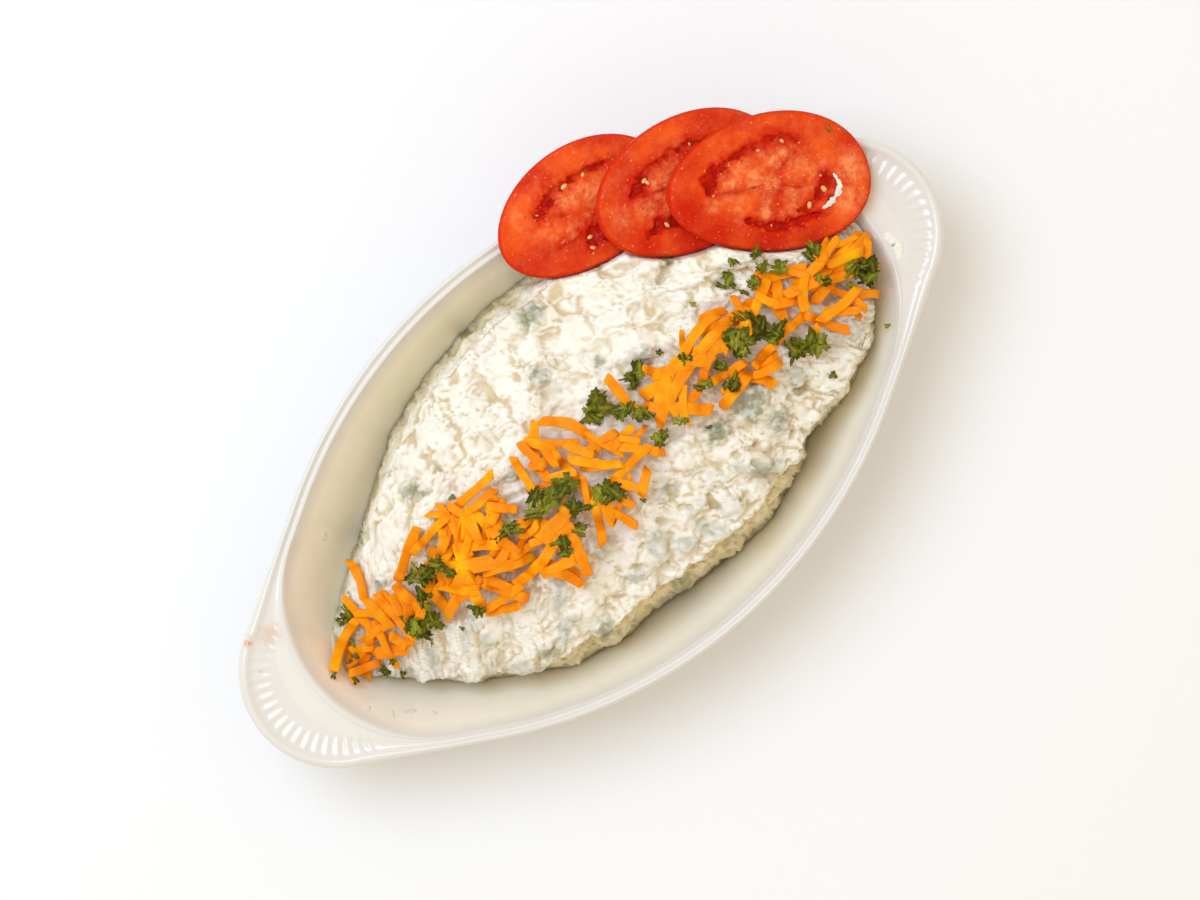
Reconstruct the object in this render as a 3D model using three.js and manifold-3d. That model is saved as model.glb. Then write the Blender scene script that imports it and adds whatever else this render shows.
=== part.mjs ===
// An oval ceramic dish with two fluted tab handles, filled with a mound of creamy aubergine dip.
// A line of grated carrot and chopped parsley runs along the mound, and three tomato slices are
// shingled over its far side and the rim. Millimetres, +Z up, +X along the dish; the origin is the
// middle of the foot.
import * as THREE from 'three';
import { mergeVertices } from 'three/addons/utils/BufferGeometryUtils.js';
import Module from 'manifold-3d';

const wasm = await Module();
wasm.setup();

// Clearance between pieces that touch.
const GAP = 0.35;

// The dish in plan: an arc over each side, straight flanks and an arc round each end.
const FLANK_ANGLE = THREE.MathUtils.degToRad(30);
const WELL_HALF_LENGTH = 102.3;
const WELL_HALF_WIDTH = 60.8;
const WELL_END_RADIUS = 41.3;
const RIM_HALF_LENGTH = 124;
const RIM_END_RADIUS = 27.8;
const RIM_WIDTH = 4;
const TAB_WIDTH = RIM_HALF_LENGTH - WELL_HALF_LENGTH;
const END_STEPS = 9;
const SIDE_STEPS = 7;

// The dish in section, outside: distance in from the well's edge, and height.
const OUTSIDE = [[15.5, 0], [13.6, 1.4], [-1.2, 30.5]];
// The rim and the tabs: distance in from the outer edge on a tab and on a side, height on each.
const RIM = [
  { tab: 1.6, side: 1.4, tabHeight: 33.6, sideHeight: 33.4 },
  { tab: 0, side: 0, tabHeight: 35.2, sideHeight: 35.2 },
  { tab: 0.5, side: 0.3, tabHeight: 36.8, sideHeight: 36.8 },
  { tab: 1.7, side: 1.0, tabHeight: 37.5, sideHeight: 37.5 },
  { tab: 3.4, side: 1.8, tabHeight: 36.9, sideHeight: 37.0 },
  { tab: 9.4, side: 2.3, tabHeight: 36.3, sideHeight: 36.9 },
  { tab: 14.0, side: 2.7, tabHeight: 36.0, sideHeight: 36.9 },
  { tab: 19.4, side: 3.1, tabHeight: 36.4, sideHeight: 37.0 },
  { tab: 20.6, side: 3.4, tabHeight: 36.9, sideHeight: 37.1 },
  { tab: 21.7, side: 4, tabHeight: 36.3, sideHeight: 36.4 },
];
// The well: distance in from its edge, and height.
const INSIDE = [[0.7, 35.2], [8.6, 19.5], [12.6, 11.8], [16, 8.2], [21, 6]];

// The flutes pressed into each tab.
const FLUTE_COUNT = 21;
const FLUTE_SPREAD = THREE.MathUtils.degToRad(78);
const FLUTE = { inset: 6.3, height: 36.75, length: 7.2, width: 3.1, depth: 1.1 };

// The mound of dip: its foot in plan on either side and its crown.
const MOUND_START = -95.5;
const MOUND_END = 100.5;
const FAR_FOOT = [
  [-95.5, 3], [-88, 12.5], [-70, 25], [-40, 42.5], [-14, 50], [14, 51.5], [42, 48],
  [66, 38], [86, 24], [96, 12], [100.5, 4],
];
const NEAR_FOOT = [
  [-95.5, -3], [-88, -11.5], [-70, -28], [-40, -45], [-10, -48], [22, -49.5], [40, -44],
  [52, -38], [70, -34.5], [86, -25], [96, -12], [100.5, -5],
];
const CROWN = {
  height: 51,
  left: { from: -12, drop: 37, fall: 2.3 },
  right: { from: 14, drop: 16.5, fall: 3.5 },
};
// The bank that the tomato slices push up along their inner edges.
const BANK = { middle: [63, 20.5], direction: [0.777, -0.63], height: 4, across: 8, along: 26 };
// The shoulders: how far out they are on the far and the near side, as shares of the way to the
// foot, the drop up to there and how the rest falls.
const SHOULDER = { far: 0.88, near: 0.93, drop: 0.3, fall: 1.5 };
// The ledge: where it runs, how long it takes to rise, its drop and how far out its nose is.
const LEDGE = { from: -52, to: 46, rise: 12, drop: 9, nose: 0.86 };
const FOOT_HEIGHT = 1.5;
const FOOT_CLEARANCE = 0.5;
// Lumps and spoon marks, each the product of two waves: its height, then for each wave the radians
// per millimetre along and across, and its phase.
const LUMPS = [
  [1.0, 0.31, 0, 0.9, 0, 0.27, 0.4],
  [0.8, 0.17, -0.23, 1.3, 0, 0, Math.PI / 2],
  [0.7, 0.53, 0.35, 0, -0.21, 0.47, 2],
];
const MOUND_SECTIONS = 38;
const FAR_ROWS = [1, 0.97, 0.94, 0.88, 0.76, 0.62, 0.5, 0.37, 0.24, 0.12];
const NEAR_ROWS = [0.12, 0.24, 0.37, 0.5, 0.62, 0.74, 0.86, 0.93, 0.965, 1];
const UNDER_ROWS = [1, 0.95, 0.88, 0.79];

// The tomato slices, from the lowest: middle of each, half axes, heading in plan in degrees, fall
// along the fan and lean towards the mound, and the height and phase of the outline's three bulges.
const FAN_DIRECTION = new THREE.Vector2(0.827, -0.562);
const SLICE_THICKNESS = 4.2;
const SLICE_ROUNDING = 0.9;
const SLICE_STEPS = 38;
const SLICES = [
  { middle: [43.9, 54.9, 40.6], half: [26.6, 17.2], heading: -8, tilt: [0.05, 0.08], bulge: [0.017, 2.1] },
  { middle: [70.8, 40.1, 43.8], half: [28.1, 18.9], heading: -13, tilt: [0.17, 0.1], bulge: [0.007, -3.4] },
  { middle: [88.6, 24.8, 44.5], half: [29.5, 19.5], heading: -32, tilt: [0.17, 0.1], bulge: [0.035, -3.6] },
];
// The two seed chambers sunk in a slice, as shares of its half axes.
const CHAMBER = { length: 0.52, width: 0.16, offset: 0.47, shift: 0.14, depth: 0.9 };

// The garnish: a thin bed, with grated carrot and parsley leaves lying on it.
const BED = { from: -88, to: 92, step: 6, halfWidth: 7, height: 1.5, edge: 0.9, depth: 2 };
// How the bed's middle wanders and its width swells along the dish.
const BED_WANDER = { middle: -2, reach: 2, pace: 0.05, phase: 1 };
const BED_SWELL = { mean: 0.75, reach: 0.3, pace: 0.21, crown: 0.4 };
const SHRED_THICKNESS = 1.7;
const SHRED_STEP = 8;
const SHRED_TAPER = 0.75;
const SHRED_LIFT = [0.1, 0.9];
const WALL_CLEARANCE = 1.2;
// Each shred: the two ends in plan, its width and how far its middle bows to the left.
const SHREDS = [
  [-97.5, 0.3, -81.5, 7.5, 3, 1.5], [-82.3, 15, -80, -3.5, 2.4, 0], [-82, 9, -73, 2, 2.2, 0],
  [-73.5, 22, -78, 10, 2.5, 1], [-73, 9.5, -73, -8, 2.5, 0], [-67, 8, -71, -3, 3, 1.5],
  [-66.5, 6, -66, 0, 3, 0], [-95, -3, -86, -6.5, 2.4, 0], [-86, -3, -76, -8.5, 3.4, 0],
  [-60, 2.5, -60, -8, 3, 0], [-66, 8, -51, 16, 2.6, 0], [-57.5, 10.9, -24.5, 13.3, 2.4, 0.8],
  [-43, 10, -27, 9.5, 2.5, 0], [-53.5, 4.8, -39, 12, 2.6, 0], [-56, -6, -38, 9, 3, -1],
  [-39, 9, -40, 0, 2.8, 0], [-35, 3, -27, 6, 2.4, 0], [-35.5, 2, -34, -9, 2.6, 0],
  [-49, -1.5, -51.5, -13.5, 2.8, 0], [-62.5, -9, -47, -4, 3, 0], [-47, -2, -40, -6, 4, 0],
  [-47, -8, -40, -20, 2.8, 0], [-52, -15, -43, -20, 2.4, 0], [-45, -6, -31, -12, 2.8, 0],
  [-40, -14.5, -14, -6, 3, -3], [-27.5, -1, -24, -13, 5, 1], [-31, -15, -25, -25, 4, 0],
  [-18, -11, -23, -26, 3, 0], [-13.6, 0, -6, 16.7, 2.8, 3], [-6, 16.7, 2.7, -1.5, 2.8, 3],
  [-13.5, 15.5, -13, 5, 2.4, 0], [-8, 8, -7.5, -13.5, 2.3, 0], [-7.5, -10, -14.5, -22.5, 2.3, 0],
  [-7.5, -12, -3.5, -24.5, 2.3, 0], [-5, -1, 5, -8.5, 2.3, 0], [7, -4, 16, -13.5, 2.4, 0],
  [0, -10, 14, -9, 2.4, 0], [2.5, -18.5, 9.5, -13.5, 2.4, 0], [5, -3, 14, -2, 2.3, 0],
  [17, 13.5, 17, 1, 2.6, 0], [19, -6.5, 64, 2.5, 3, 3.5], [32.5, 0, 54.5, 6.5, 2.6, 3],
  [26, 8.5, 32, 0.5, 2.4, 0], [21, 3, 30, 0.5, 3.4, 0], [26, -6, 34, -13, 3.2, 0],
  [36, -14.5, 48, -12, 3, 0], [50, -11.5, 71, -9.5, 2.5, 0.6], [70.5, -9.5, 78, -21.5, 2.5, 0],
  [38, -7, 50, -9, 2.4, 0], [67, -3, 72, 4, 3, 0], [68, 6, 80, 0, 3, 0], [73, -2, 87, -1, 2.6, 0],
  [77, -5, 99.5, -2.5, 2.8, 0], [75, -8.5, 101, -4, 3, 0], [99.5, -5, 94, -11, 2.5, 0],
  [76, -12, 83, -18, 2.4, 0], [80, -14.5, 92.5, -19.5, 2.5, 1.6],
];
// Each clump of parsley: its middle in plan and its size.
const PARSLEY = [
  [-86, 10, 5], [-57, 6, 10], [-53, 1, 4], [-63, -1, 5], [-69, -6, 8], [-87, -9, 3], [-53, -13, 4],
  [-31, -1.5, 6], [-20.5, -1, 8], [-23, -15, 5], [-13, -2, 6], [-13, -10, 5], [-16, -14, 4],
  [-3, -11, 7], [10, 8, 9], [15, 3, 5], [17.5, -2, 5], [24, 8, 7], [18, -10, 4], [25, -10, 4],
  [38, 3, 3], [36, -6.5, 4], [43, -6, 4], [43, -11, 4], [54, -2, 12], [60, -7, 6], [61, 11, 6],
  [64, 6, 5], [63, -14, 7], [66, 15, 3], [71, 8, 4], [75, 5, 4], [81, -6, 4], [84, 2, 5],
  [91, -11, 9], [67, -18, 7], [72, 13, 3],
];
const LEAFLET = { size: 3.4, thickness: 0.6, tip: 0.58, notch: 0.36, narrow: 0.8, wave: 0.3 };
const LEAFLET_SLOPE = 0.35;
const LEAFLET_LIFT = [0.3, 1.4];
// How many leaflets a clump of one size has, and how they spread and vary.
const CLUMP = { unit: 4, growth: 1.2, narrow: 0.8, least: 0.9, most: 1.25 };

// A linear blend, and the height of a chain of straight stretches at one place.
const blend = (a, b, share) => a + (b - a) * share;

function along(points, place) {
  const last = points.length - 1;
  for (let i = 1; i < last; i++)
    if (place < points[i][0])
      return stretch(points[i - 1], points[i], place);
  return stretch(points[last - 1], points[last], place);
}

function stretch([x0, y0], [x1, y1], x) {
  return blend(y0, y1, THREE.MathUtils.clamp((x - x0) / (x1 - x0), 0, 1));
}

// The same random numbers every time.
let seed = 20611;
function random(low, high) {
  seed = (seed * 16807) % 2147483647;
  return low + ((high - low) * seed) / 2147483647;
}

// A closed body from rings of equal length, with a flat fan over the first and the last.
function loft(rings) {
  const size = rings[0].length;
  const middles = [rings[0], rings.at(-1)].map(middleOf);
  const positions = [...rings, middles].flat(2);
  const first = rings.length * size;
  const faces = [];
  for (let i = 0; i < size; i++) {
    const next = (i + 1) % size;
    faces.push(first, next, i, first + 1, first - size + i, first - size + next);
    for (let k = 0; k < rings.length - 1; k++) {
      const low = k * size;
      const high = low + size;
      faces.push(low + i, low + next, high + next, low + i, high + next, high + i);
    }
  }
  const geometry = new THREE.BufferGeometry();
  geometry.setAttribute('position', new THREE.Float32BufferAttribute(positions, 3));
  geometry.setIndex(faces);
  return geometry;
}

function middleOf(ring) {
  return [0, 1, 2].map((axis) => ring.reduce((sum, point) => sum + point[axis], 0) / ring.length);
}

// Solids for cutting and joining, and back.
function solidOf(geometry) {
  const bare = geometry.clone();
  bare.deleteAttribute('normal');
  bare.deleteAttribute('uv');
  const merged = mergeVertices(bare, 1e-4);
  const vertProperties = merged.attributes.position.array;
  const triVerts = new Uint32Array(merged.index.array);
  return new wasm.Manifold(new wasm.Mesh({ numProp: 3, vertProperties, triVerts }));
}

function geometryOf(solid) {
  const { vertProperties, triVerts } = solid.getMesh();
  const geometry = new THREE.BufferGeometry();
  geometry.setAttribute('position', new THREE.BufferAttribute(vertProperties, 3));
  geometry.setIndex(new THREE.BufferAttribute(triVerts, 1));
  geometry.computeVertexNormals();
  return geometry;
}

// The largest of the pieces that a cut leaves.
function largestOf(solid) {
  return solid.decompose().reduce((best, piece) => (piece.volume() > best.volume() ? piece : best));
}

function mesh(name, geometry, color, roughness) {
  const material = new THREE.MeshStandardMaterial({ color, roughness, metalness: 0 });
  const made = new THREE.Mesh(geometry, material);
  made.name = name;
  return made;
}

// ---- The dish ----

const FLANK_SIN = Math.sin(FLANK_ANGLE);
const FLANK_COS = Math.cos(FLANK_ANGLE);
const END_CENTRE = WELL_HALF_LENGTH - WELL_END_RADIUS;
const SIDE_RADIUS =
  (END_CENTRE * FLANK_SIN + WELL_END_RADIUS - WELL_HALF_WIDTH * FLANK_COS) / (1 - FLANK_COS);
const SIDE_CENTRE = WELL_HALF_WIDTH - SIDE_RADIUS;

// From the middle of the well's end arc, how far off the rim's outer edge is in one direction:
// the rim's own end arc up to its tangent point, and the flank beyond.
function rimReach(angle) {
  const offset = RIM_HALF_LENGTH - RIM_END_RADIUS - END_CENTRE;
  const tangent = Math.atan2(RIM_END_RADIUS * FLANK_COS, offset + RIM_END_RADIUS * FLANK_SIN);
  if (angle > tangent)
    return (WELL_END_RADIUS + RIM_WIDTH) / Math.cos(Math.PI / 2 - FLANK_ANGLE - angle);
  const across = offset * Math.sin(angle);
  return offset * Math.cos(angle) + Math.sqrt(RIM_END_RADIUS ** 2 - across ** 2);
}

// One quarter of the dish as rays: where each starts, its direction, and how far off the well's
// edge and the rim's outer edge are.
function quarterRays() {
  const rays = [];
  for (let i = 0; i <= END_STEPS; i++) {
    const angle = ((Math.PI / 2 - FLANK_ANGLE) * i) / END_STEPS;
    rays.push({
      start: [END_CENTRE, 0],
      direction: [Math.cos(angle), Math.sin(angle)],
      well: WELL_END_RADIUS,
      rim: rimReach(angle),
    });
  }
  for (let i = 0; i <= SIDE_STEPS; i++) {
    const angle = FLANK_ANGLE * (1 - i / SIDE_STEPS);
    rays.push({
      start: [0, SIDE_CENTRE],
      direction: [Math.sin(angle), Math.cos(angle)],
      well: SIDE_RADIUS,
      rim: SIDE_RADIUS + RIM_WIDTH,
    });
  }
  return rays;
}

// All the way round, counter-clockwise from the +X end.
function allRays() {
  const quarter = quarterRays();
  const turned = (sx, sy) => (ray) => ({
    ...ray,
    start: [ray.start[0] * sx, ray.start[1] * sy],
    direction: [ray.direction[0] * sx, ray.direction[1] * sy],
  });
  const back = [...quarter].reverse().slice(1);
  return [
    ...quarter,
    ...back.map(turned(-1, 1)),
    ...quarter.slice(1).map(turned(-1, -1)),
    ...back.slice(0, -1).map(turned(1, -1)),
  ];
}

const RAYS = allRays();

function onRay({ start, direction }, distance, height) {
  return [start[0] + direction[0] * distance, start[1] + direction[1] * distance, height];
}

// How much of a tab there is along a ray, from 0 on the sides to 1 at the very end.
function tabShare(ray) {
  return (ray.rim - ray.well - RIM_WIDTH) / (TAB_WIDTH - RIM_WIDTH);
}

function rimRing({ tab, side, tabHeight, sideHeight }) {
  return RAYS.map((ray) => {
    const share = tabShare(ray);
    const inset = blend(side / RIM_WIDTH, tab / TAB_WIDTH, share) * (ray.rim - ray.well);
    return onRay(ray, ray.rim - inset, blend(sideHeight, tabHeight, share));
  });
}

function wellRing([inset, height]) {
  return RAYS.map((ray) => onRay(ray, ray.well - inset, height));
}

// A flute's cutter: a long low diamond pointing at the middle of the end's arc.
function fluteCutter(angle, side) {
  const beyond = Math.max(0, Math.abs(angle) - (Math.PI / 2 - FLANK_ANGLE));
  const reach = (RIM_END_RADIUS - FLUTE.inset) / Math.cos(beyond);
  const centre = RIM_HALF_LENGTH - RIM_END_RADIUS;
  const geometry = new THREE.OctahedronGeometry(1);
  geometry.scale(FLUTE.length / 2, FLUTE.width / 2, FLUTE.depth);
  geometry.rotateZ(angle);
  geometry.translate(centre + reach * Math.cos(angle), reach * Math.sin(angle), FLUTE.height);
  if (side < 0)
    geometry.rotateZ(Math.PI);
  return solidOf(geometry);
}

function dishSolid() {
  const rings = [...OUTSIDE.map(wellRing), ...RIM.map(rimRing), ...INSIDE.map(wellRing)];
  const cutters = [];
  for (const side of [1, -1])
    for (let i = 0; i < FLUTE_COUNT; i++)
      cutters.push(fluteCutter(blend(-FLUTE_SPREAD, FLUTE_SPREAD, i / (FLUTE_COUNT - 1)), side));
  return solidOf(loft(rings)).subtract(wasm.Manifold.union(cutters));
}

// How far in from the well's edge a place in the plan is.
function wellInset(x, y) {
  const right = Math.abs(x);
  const up = Math.abs(y);
  const flank = (right - END_CENTRE) * FLANK_SIN + up * FLANK_COS;
  if ((right - END_CENTRE) * FLANK_COS > up * FLANK_SIN)
    return WELL_END_RADIUS - Math.hypot(right - END_CENTRE, up);
  if (right * FLANK_COS < (up - SIDE_CENTRE) * FLANK_SIN)
    return SIDE_RADIUS - Math.hypot(right, up - SIDE_CENTRE);
  return WELL_END_RADIUS - flank;
}

const WELL_EDGE_HEIGHT = 37.2;

function wellHeight(x, y, inward = 0) {
  return along([[0, WELL_EDGE_HEIGHT], ...INSIDE], wellInset(x, y) + inward);
}

// ---- The mound of dip ----

// A smooth line through hand-set points.
function smooth(points) {
  const curve = new THREE.CatmullRomCurve3(points.map(([x, y]) => new THREE.Vector3(x, y, 0)));
  const fine = curve.getPoints(points.length * 8).map(({ x, y }) => [x, y]);
  return (x) => along(fine, x);
}

const farFoot = smooth(FAR_FOOT);
const nearFoot = smooth(NEAR_FOOT);

function crown(x) {
  const [{ from, drop, fall }, end] = x < 0 ? [CROWN.left, MOUND_START] : [CROWN.right, MOUND_END];
  return CROWN.height - drop * Math.max(0, (x - from) / (end - from)) ** fall;
}

function bank(x, y) {
  const [right, up] = [x - BANK.middle[0], y - BANK.middle[1]];
  const [ux, uy] = BANK.direction;
  const reach = (right * ux + up * uy) / BANK.along;
  const off = (up * ux - right * uy) / BANK.across;
  return BANK.height * Math.exp(-reach * reach - off * off);
}

function lumps(x, y) {
  return LUMPS.reduce(
    (sum, [height, ax, ay, a, bx, by, b]) =>
      sum + height * Math.sin(ax * x + ay * y + a) * Math.sin(bx * x + by * y + b),
    0,
  );
}

// The mound's height: it falls a little from the crown to the shoulders, then steeply.
function moundHeight(x, y) {
  const foot = y > 0 ? farFoot(x) : nearFoot(x);
  const place = y / foot;
  const shoulder = y > 0 ? SHOULDER.far : SHOULDER.near;
  const floor = wellHeight(x, foot);
  const slope = (crown(x) - floor) * SHOULDER.drop * (place / shoulder) ** 2;
  const top = crown(x) - slope + bank(x, y) + lumps(x, y);
  const share = THREE.MathUtils.clamp((place - shoulder) / (1 - shoulder), 0, 1);
  return blend(top, floor + FOOT_HEIGHT, share ** SHOULDER.fall);
}

// The near side has a ledge: the top layer stops short of the foot, over a lower layer.
function nearSide(x, share) {
  const foot = nearFoot(x);
  const [y, z] = [foot * share, moundHeight(x, foot * share)];
  const inside = Math.min(x - LEDGE.from, LEDGE.to - x) / LEDGE.rise;
  if (inside <= 0 || share < LEDGE.nose)
    return [x, y, z];
  const lower = moundHeight(x, foot * LEDGE.nose) - LEDGE.drop * Math.min(1, inside);
  const floor = wellHeight(x, foot) + FOOT_HEIGHT;
  const level = blend(lower, floor, (share - LEDGE.nose) / (1 - LEDGE.nose));
  return share === LEDGE.nose ? [x, y, z] : [x, y, Math.min(z, level)];
}

function moundSection(x) {
  const far = farFoot(x);
  const near = nearFoot(x);
  const below = (y) => [x, y, wellHeight(x, y, -FOOT_CLEARANCE) + GAP];
  return [
    ...FAR_ROWS.map((share) => [x, far * share, moundHeight(x, far * share)]),
    [x, 0, crown(x) + lumps(x, 0)],
    ...NEAR_ROWS.map((share) => nearSide(x, share)),
    ...UNDER_ROWS.map((share) => below(near * share)),
    ...[...UNDER_ROWS].reverse().map((share) => below(far * share)),
  ];
}

function moundSolid() {
  const sections = [];
  for (let i = 0; i <= MOUND_SECTIONS; i++) {
    const share = 0.5 - 0.5 * Math.cos((Math.PI * i) / MOUND_SECTIONS);
    sections.push(moundSection(blend(MOUND_START, MOUND_END, blend(i / MOUND_SECTIONS, share, 0.5))));
  }
  return solidOf(loft(sections));
}

// ---- The tomato slices ----

// A slice flat on its middle, with a rounded skin, its two seed chambers sunk in the top face.
function sliceSolid({ half: [halfLength, halfWidth], bulge: [height, phase] }, margin) {
  const half = SLICE_THICKNESS / 2 + margin;
  const ring = (inset, level) =>
    Array.from({ length: SLICE_STEPS }, (_, i) => {
      const angle = (i / SLICE_STEPS) * 2 * Math.PI;
      const wave = 1 + height * Math.cos(3 * angle + phase);
      const x = (halfLength + margin - inset) * wave * Math.cos(angle);
      return [x, (halfWidth + margin - inset) * wave * Math.sin(angle), level];
    });
  const slice = solidOf(loft([
    ring(SLICE_ROUNDING, -half),
    ring(0, -half / 2),
    ring(0, half / 2),
    ring(SLICE_ROUNDING, half),
  ]));
  if (margin > 0)
    return slice;
  const chambers = [1, -1].map((side) => {
    const geometry = new THREE.SphereGeometry(1, 12, 6);
    geometry.scale(halfLength * CHAMBER.length, halfWidth * CHAMBER.width, CHAMBER.depth);
    const across = halfWidth * CHAMBER.offset * side;
    geometry.translate(-halfLength * CHAMBER.shift * side, across, half);
    return solidOf(geometry);
  });
  return slice.subtract(wasm.Manifold.union(chambers));
}

// Where a slice lies: its heading in plan, on a plane that falls along the fan and leans inwards.
function slicePlace({ middle, heading, tilt: [fall, lean] }) {
  const angle = THREE.MathUtils.degToRad(heading);
  const { x: ax, y: ay } = FAN_DIRECTION;
  const rise = (x, y) => lean * (ax * y - ay * x) - fall * (ax * x + ay * y);
  const [c, s] = [Math.cos(angle), Math.sin(angle)];
  const first = new THREE.Vector3(c, s, rise(c, s)).normalize();
  const up = new THREE.Vector3(-rise(1, 0), -rise(0, 1), 1).normalize();
  const second = new THREE.Vector3().crossVectors(up, first);
  return new THREE.Matrix4().makeBasis(first, second, up).setPosition(...middle);
}

function sliceMesh(slice, index) {
  const made = mesh(`tomato_slice_${index + 1}`, geometryOf(sliceSolid(slice, 0)), 0xe63a16, 0.3);
  slicePlace(slice).decompose(made.position, made.quaternion, made.scale);
  return made;
}

// The room that all the slices need, with clearance.
function slicesRoom() {
  const rooms = SLICES.map((slice) => {
    const geometry = geometryOf(sliceSolid(slice, GAP));
    return solidOf(geometry.applyMatrix4(slicePlace(slice)));
  });
  return wasm.Manifold.union(rooms);
}

// ---- The garnish ----

// The height of what the garnish lies on.
function ground(x, y) {
  const inside = x > MOUND_START && x < MOUND_END && y < farFoot(x) && y > nearFoot(x);
  const wall = wellHeight(x, y) + WALL_CLEARANCE;
  return inside ? Math.max(moundHeight(x, y), wall) : wall;
}

// The bed: a thin wavering strip along the crown.
function bedSolid() {
  const sections = [];
  for (let x = BED.from; x <= BED.to; x += BED.step) {
    const { middle, reach, pace, phase } = BED_WANDER;
    const centre = middle - reach * Math.sin(pace * x + phase);
    const half = BED.halfWidth * (BED_SWELL.mean + BED_SWELL.reach * Math.sin(BED_SWELL.pace * x));
    const row = [1, BED_SWELL.crown, -BED_SWELL.crown, -1].map((share) => centre + half * share);
    const top = row.map((y, i) => [x, y, ground(x, y) + (i % 3 ? BED.height : BED.edge)]);
    const under = [...row].reverse().map((y) => [x, y, ground(x, y) - BED.depth]);
    sections.push([...top, ...under]);
  }
  return solidOf(loft(sections));
}

// A shred of carrot: a flat strip that follows the ground.
function shredSolid([x0, y0, x1, y1, width, bow]) {
  const length = Math.hypot(x1 - x0, y1 - y0);
  const [ux, uy] = [(x1 - x0) / length, (y1 - y0) / length];
  const steps = Math.max(2, Math.round(length / SHRED_STEP));
  const lift = random(...SHRED_LIFT);
  const rings = [];
  for (let i = 0; i <= steps; i++) {
    const share = i / steps;
    const side = bow * 4 * share * (1 - share);
    const x = blend(x0, x1, share) - uy * side;
    const y = blend(y0, y1, share) + ux * side;
    const low = ground(x, y) + GAP + lift;
    const half = (width / 2) * (i % steps ? 1 : SHRED_TAPER);
    const corner = (across, up) => [x - uy * across, y + ux * across, low + up];
    rings.push([
      corner(half, SHRED_THICKNESS),
      corner(-half, SHRED_THICKNESS),
      corner(-half, 0),
      corner(half, 0),
    ]);
  }
  return solidOf(loft(rings));
}

// A leaflet of parsley: a thin wavy leaf with three points, tipped a little.
function leafletSolid(x, y, size) {
  const turn = random(0, 2 * Math.PI);
  const tip = random(-LEAFLET_SLOPE, LEAFLET_SLOPE);
  const lift = random(...LEAFLET_LIFT);
  const base = ground(x, y) + GAP + lift;
  const ring = (up) =>
    Array.from({ length: 6 }, (_, i) => {
      const angle = (i / 6) * 2 * Math.PI;
      const reach = size * (i % 2 ? LEAFLET.notch : LEAFLET.tip);
      const [u, v] = [reach * Math.cos(angle), reach * Math.sin(angle) * LEAFLET.narrow];
      const px = x + u * Math.cos(turn) - v * Math.sin(turn);
      const py = y + u * Math.sin(turn) + v * Math.cos(turn);
      return [px, py, base + tip * u + LEAFLET.wave * (i % 2) + up];
    });
  return solidOf(loft([ring(0), ring(LEAFLET.thickness)]));
}

// A clump: leaflets spread over its size, more of them in a larger one.
function clumpSolids([x, y, size]) {
  const count = Math.max(1, Math.round((size / CLUMP.unit) ** CLUMP.growth));
  const spread = Math.max(0, size / 2 - LEAFLET.size / 2);
  return Array.from({ length: count }, () => {
    const angle = random(0, 2 * Math.PI);
    const off = spread * Math.sqrt(random(0, 1));
    const place = [x + off * Math.cos(angle), y + off * Math.sin(angle) * CLUMP.narrow];
    return leafletSolid(...place, Math.min(size, LEAFLET.size) * random(CLUMP.least, CLUMP.most));
  });
}

function garnishSolid(mound, room) {
  const pieces = [bedSolid(), ...SHREDS.map(shredSolid), ...PARSLEY.flatMap(clumpSolids)];
  const heap = wasm.Manifold.union(pieces);
  return largestOf(heap.subtract(mound.translate(0, 0, GAP)).subtract(room));
}

// ---- The whole ----

const room = slicesRoom();
const mound = moundSolid();
const tomato = new THREE.Group();
tomato.add(...SLICES.map(sliceMesh));

const whole = new THREE.Group();
whole.add(
  mesh('dish', geometryOf(dishSolid()), 0xece8e0, 0.2),
  mesh('dip', geometryOf(largestOf(mound.subtract(room))), 0xf7f3e8, 0.45),
  mesh('garnish', geometryOf(garnishSolid(mound, room)), 0xe88a10, 0.5),
  tomato,
);

export default whole;
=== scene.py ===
import math

import bpy
import numpy as np
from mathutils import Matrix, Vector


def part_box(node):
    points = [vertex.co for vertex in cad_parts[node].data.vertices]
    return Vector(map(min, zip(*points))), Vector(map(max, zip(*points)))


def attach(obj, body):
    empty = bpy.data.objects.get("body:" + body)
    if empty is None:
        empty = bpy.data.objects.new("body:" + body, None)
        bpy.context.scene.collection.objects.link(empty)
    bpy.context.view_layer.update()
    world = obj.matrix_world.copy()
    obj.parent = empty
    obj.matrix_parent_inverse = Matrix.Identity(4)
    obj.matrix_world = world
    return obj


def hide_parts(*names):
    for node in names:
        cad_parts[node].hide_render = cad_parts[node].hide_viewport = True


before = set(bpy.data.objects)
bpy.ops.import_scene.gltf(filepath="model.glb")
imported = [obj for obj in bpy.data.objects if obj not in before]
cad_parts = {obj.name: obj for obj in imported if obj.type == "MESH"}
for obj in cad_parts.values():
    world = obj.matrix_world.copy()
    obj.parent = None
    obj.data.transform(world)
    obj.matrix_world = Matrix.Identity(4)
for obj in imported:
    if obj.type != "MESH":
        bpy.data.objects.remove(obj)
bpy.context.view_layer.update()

# An oval stoneware dish of creamy eggplant dip, dressed with grated carrot, chopped parsley and
# tomato slices. Sizes are in millimetres, +X along the dish, +Z up, and a mesh is scaled to metres
# as it is made.
MM = 0.001


# ---- The dish ----
# White-glazed stoneware, pressed in one piece: an oval well with sloping walls, a narrow beaded rim
# and a tab handle at each end with a fan of short flutes inside its bead. The glaze is glossy,
# slightly warm, and carries two small orange stains on the left tab.

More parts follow.
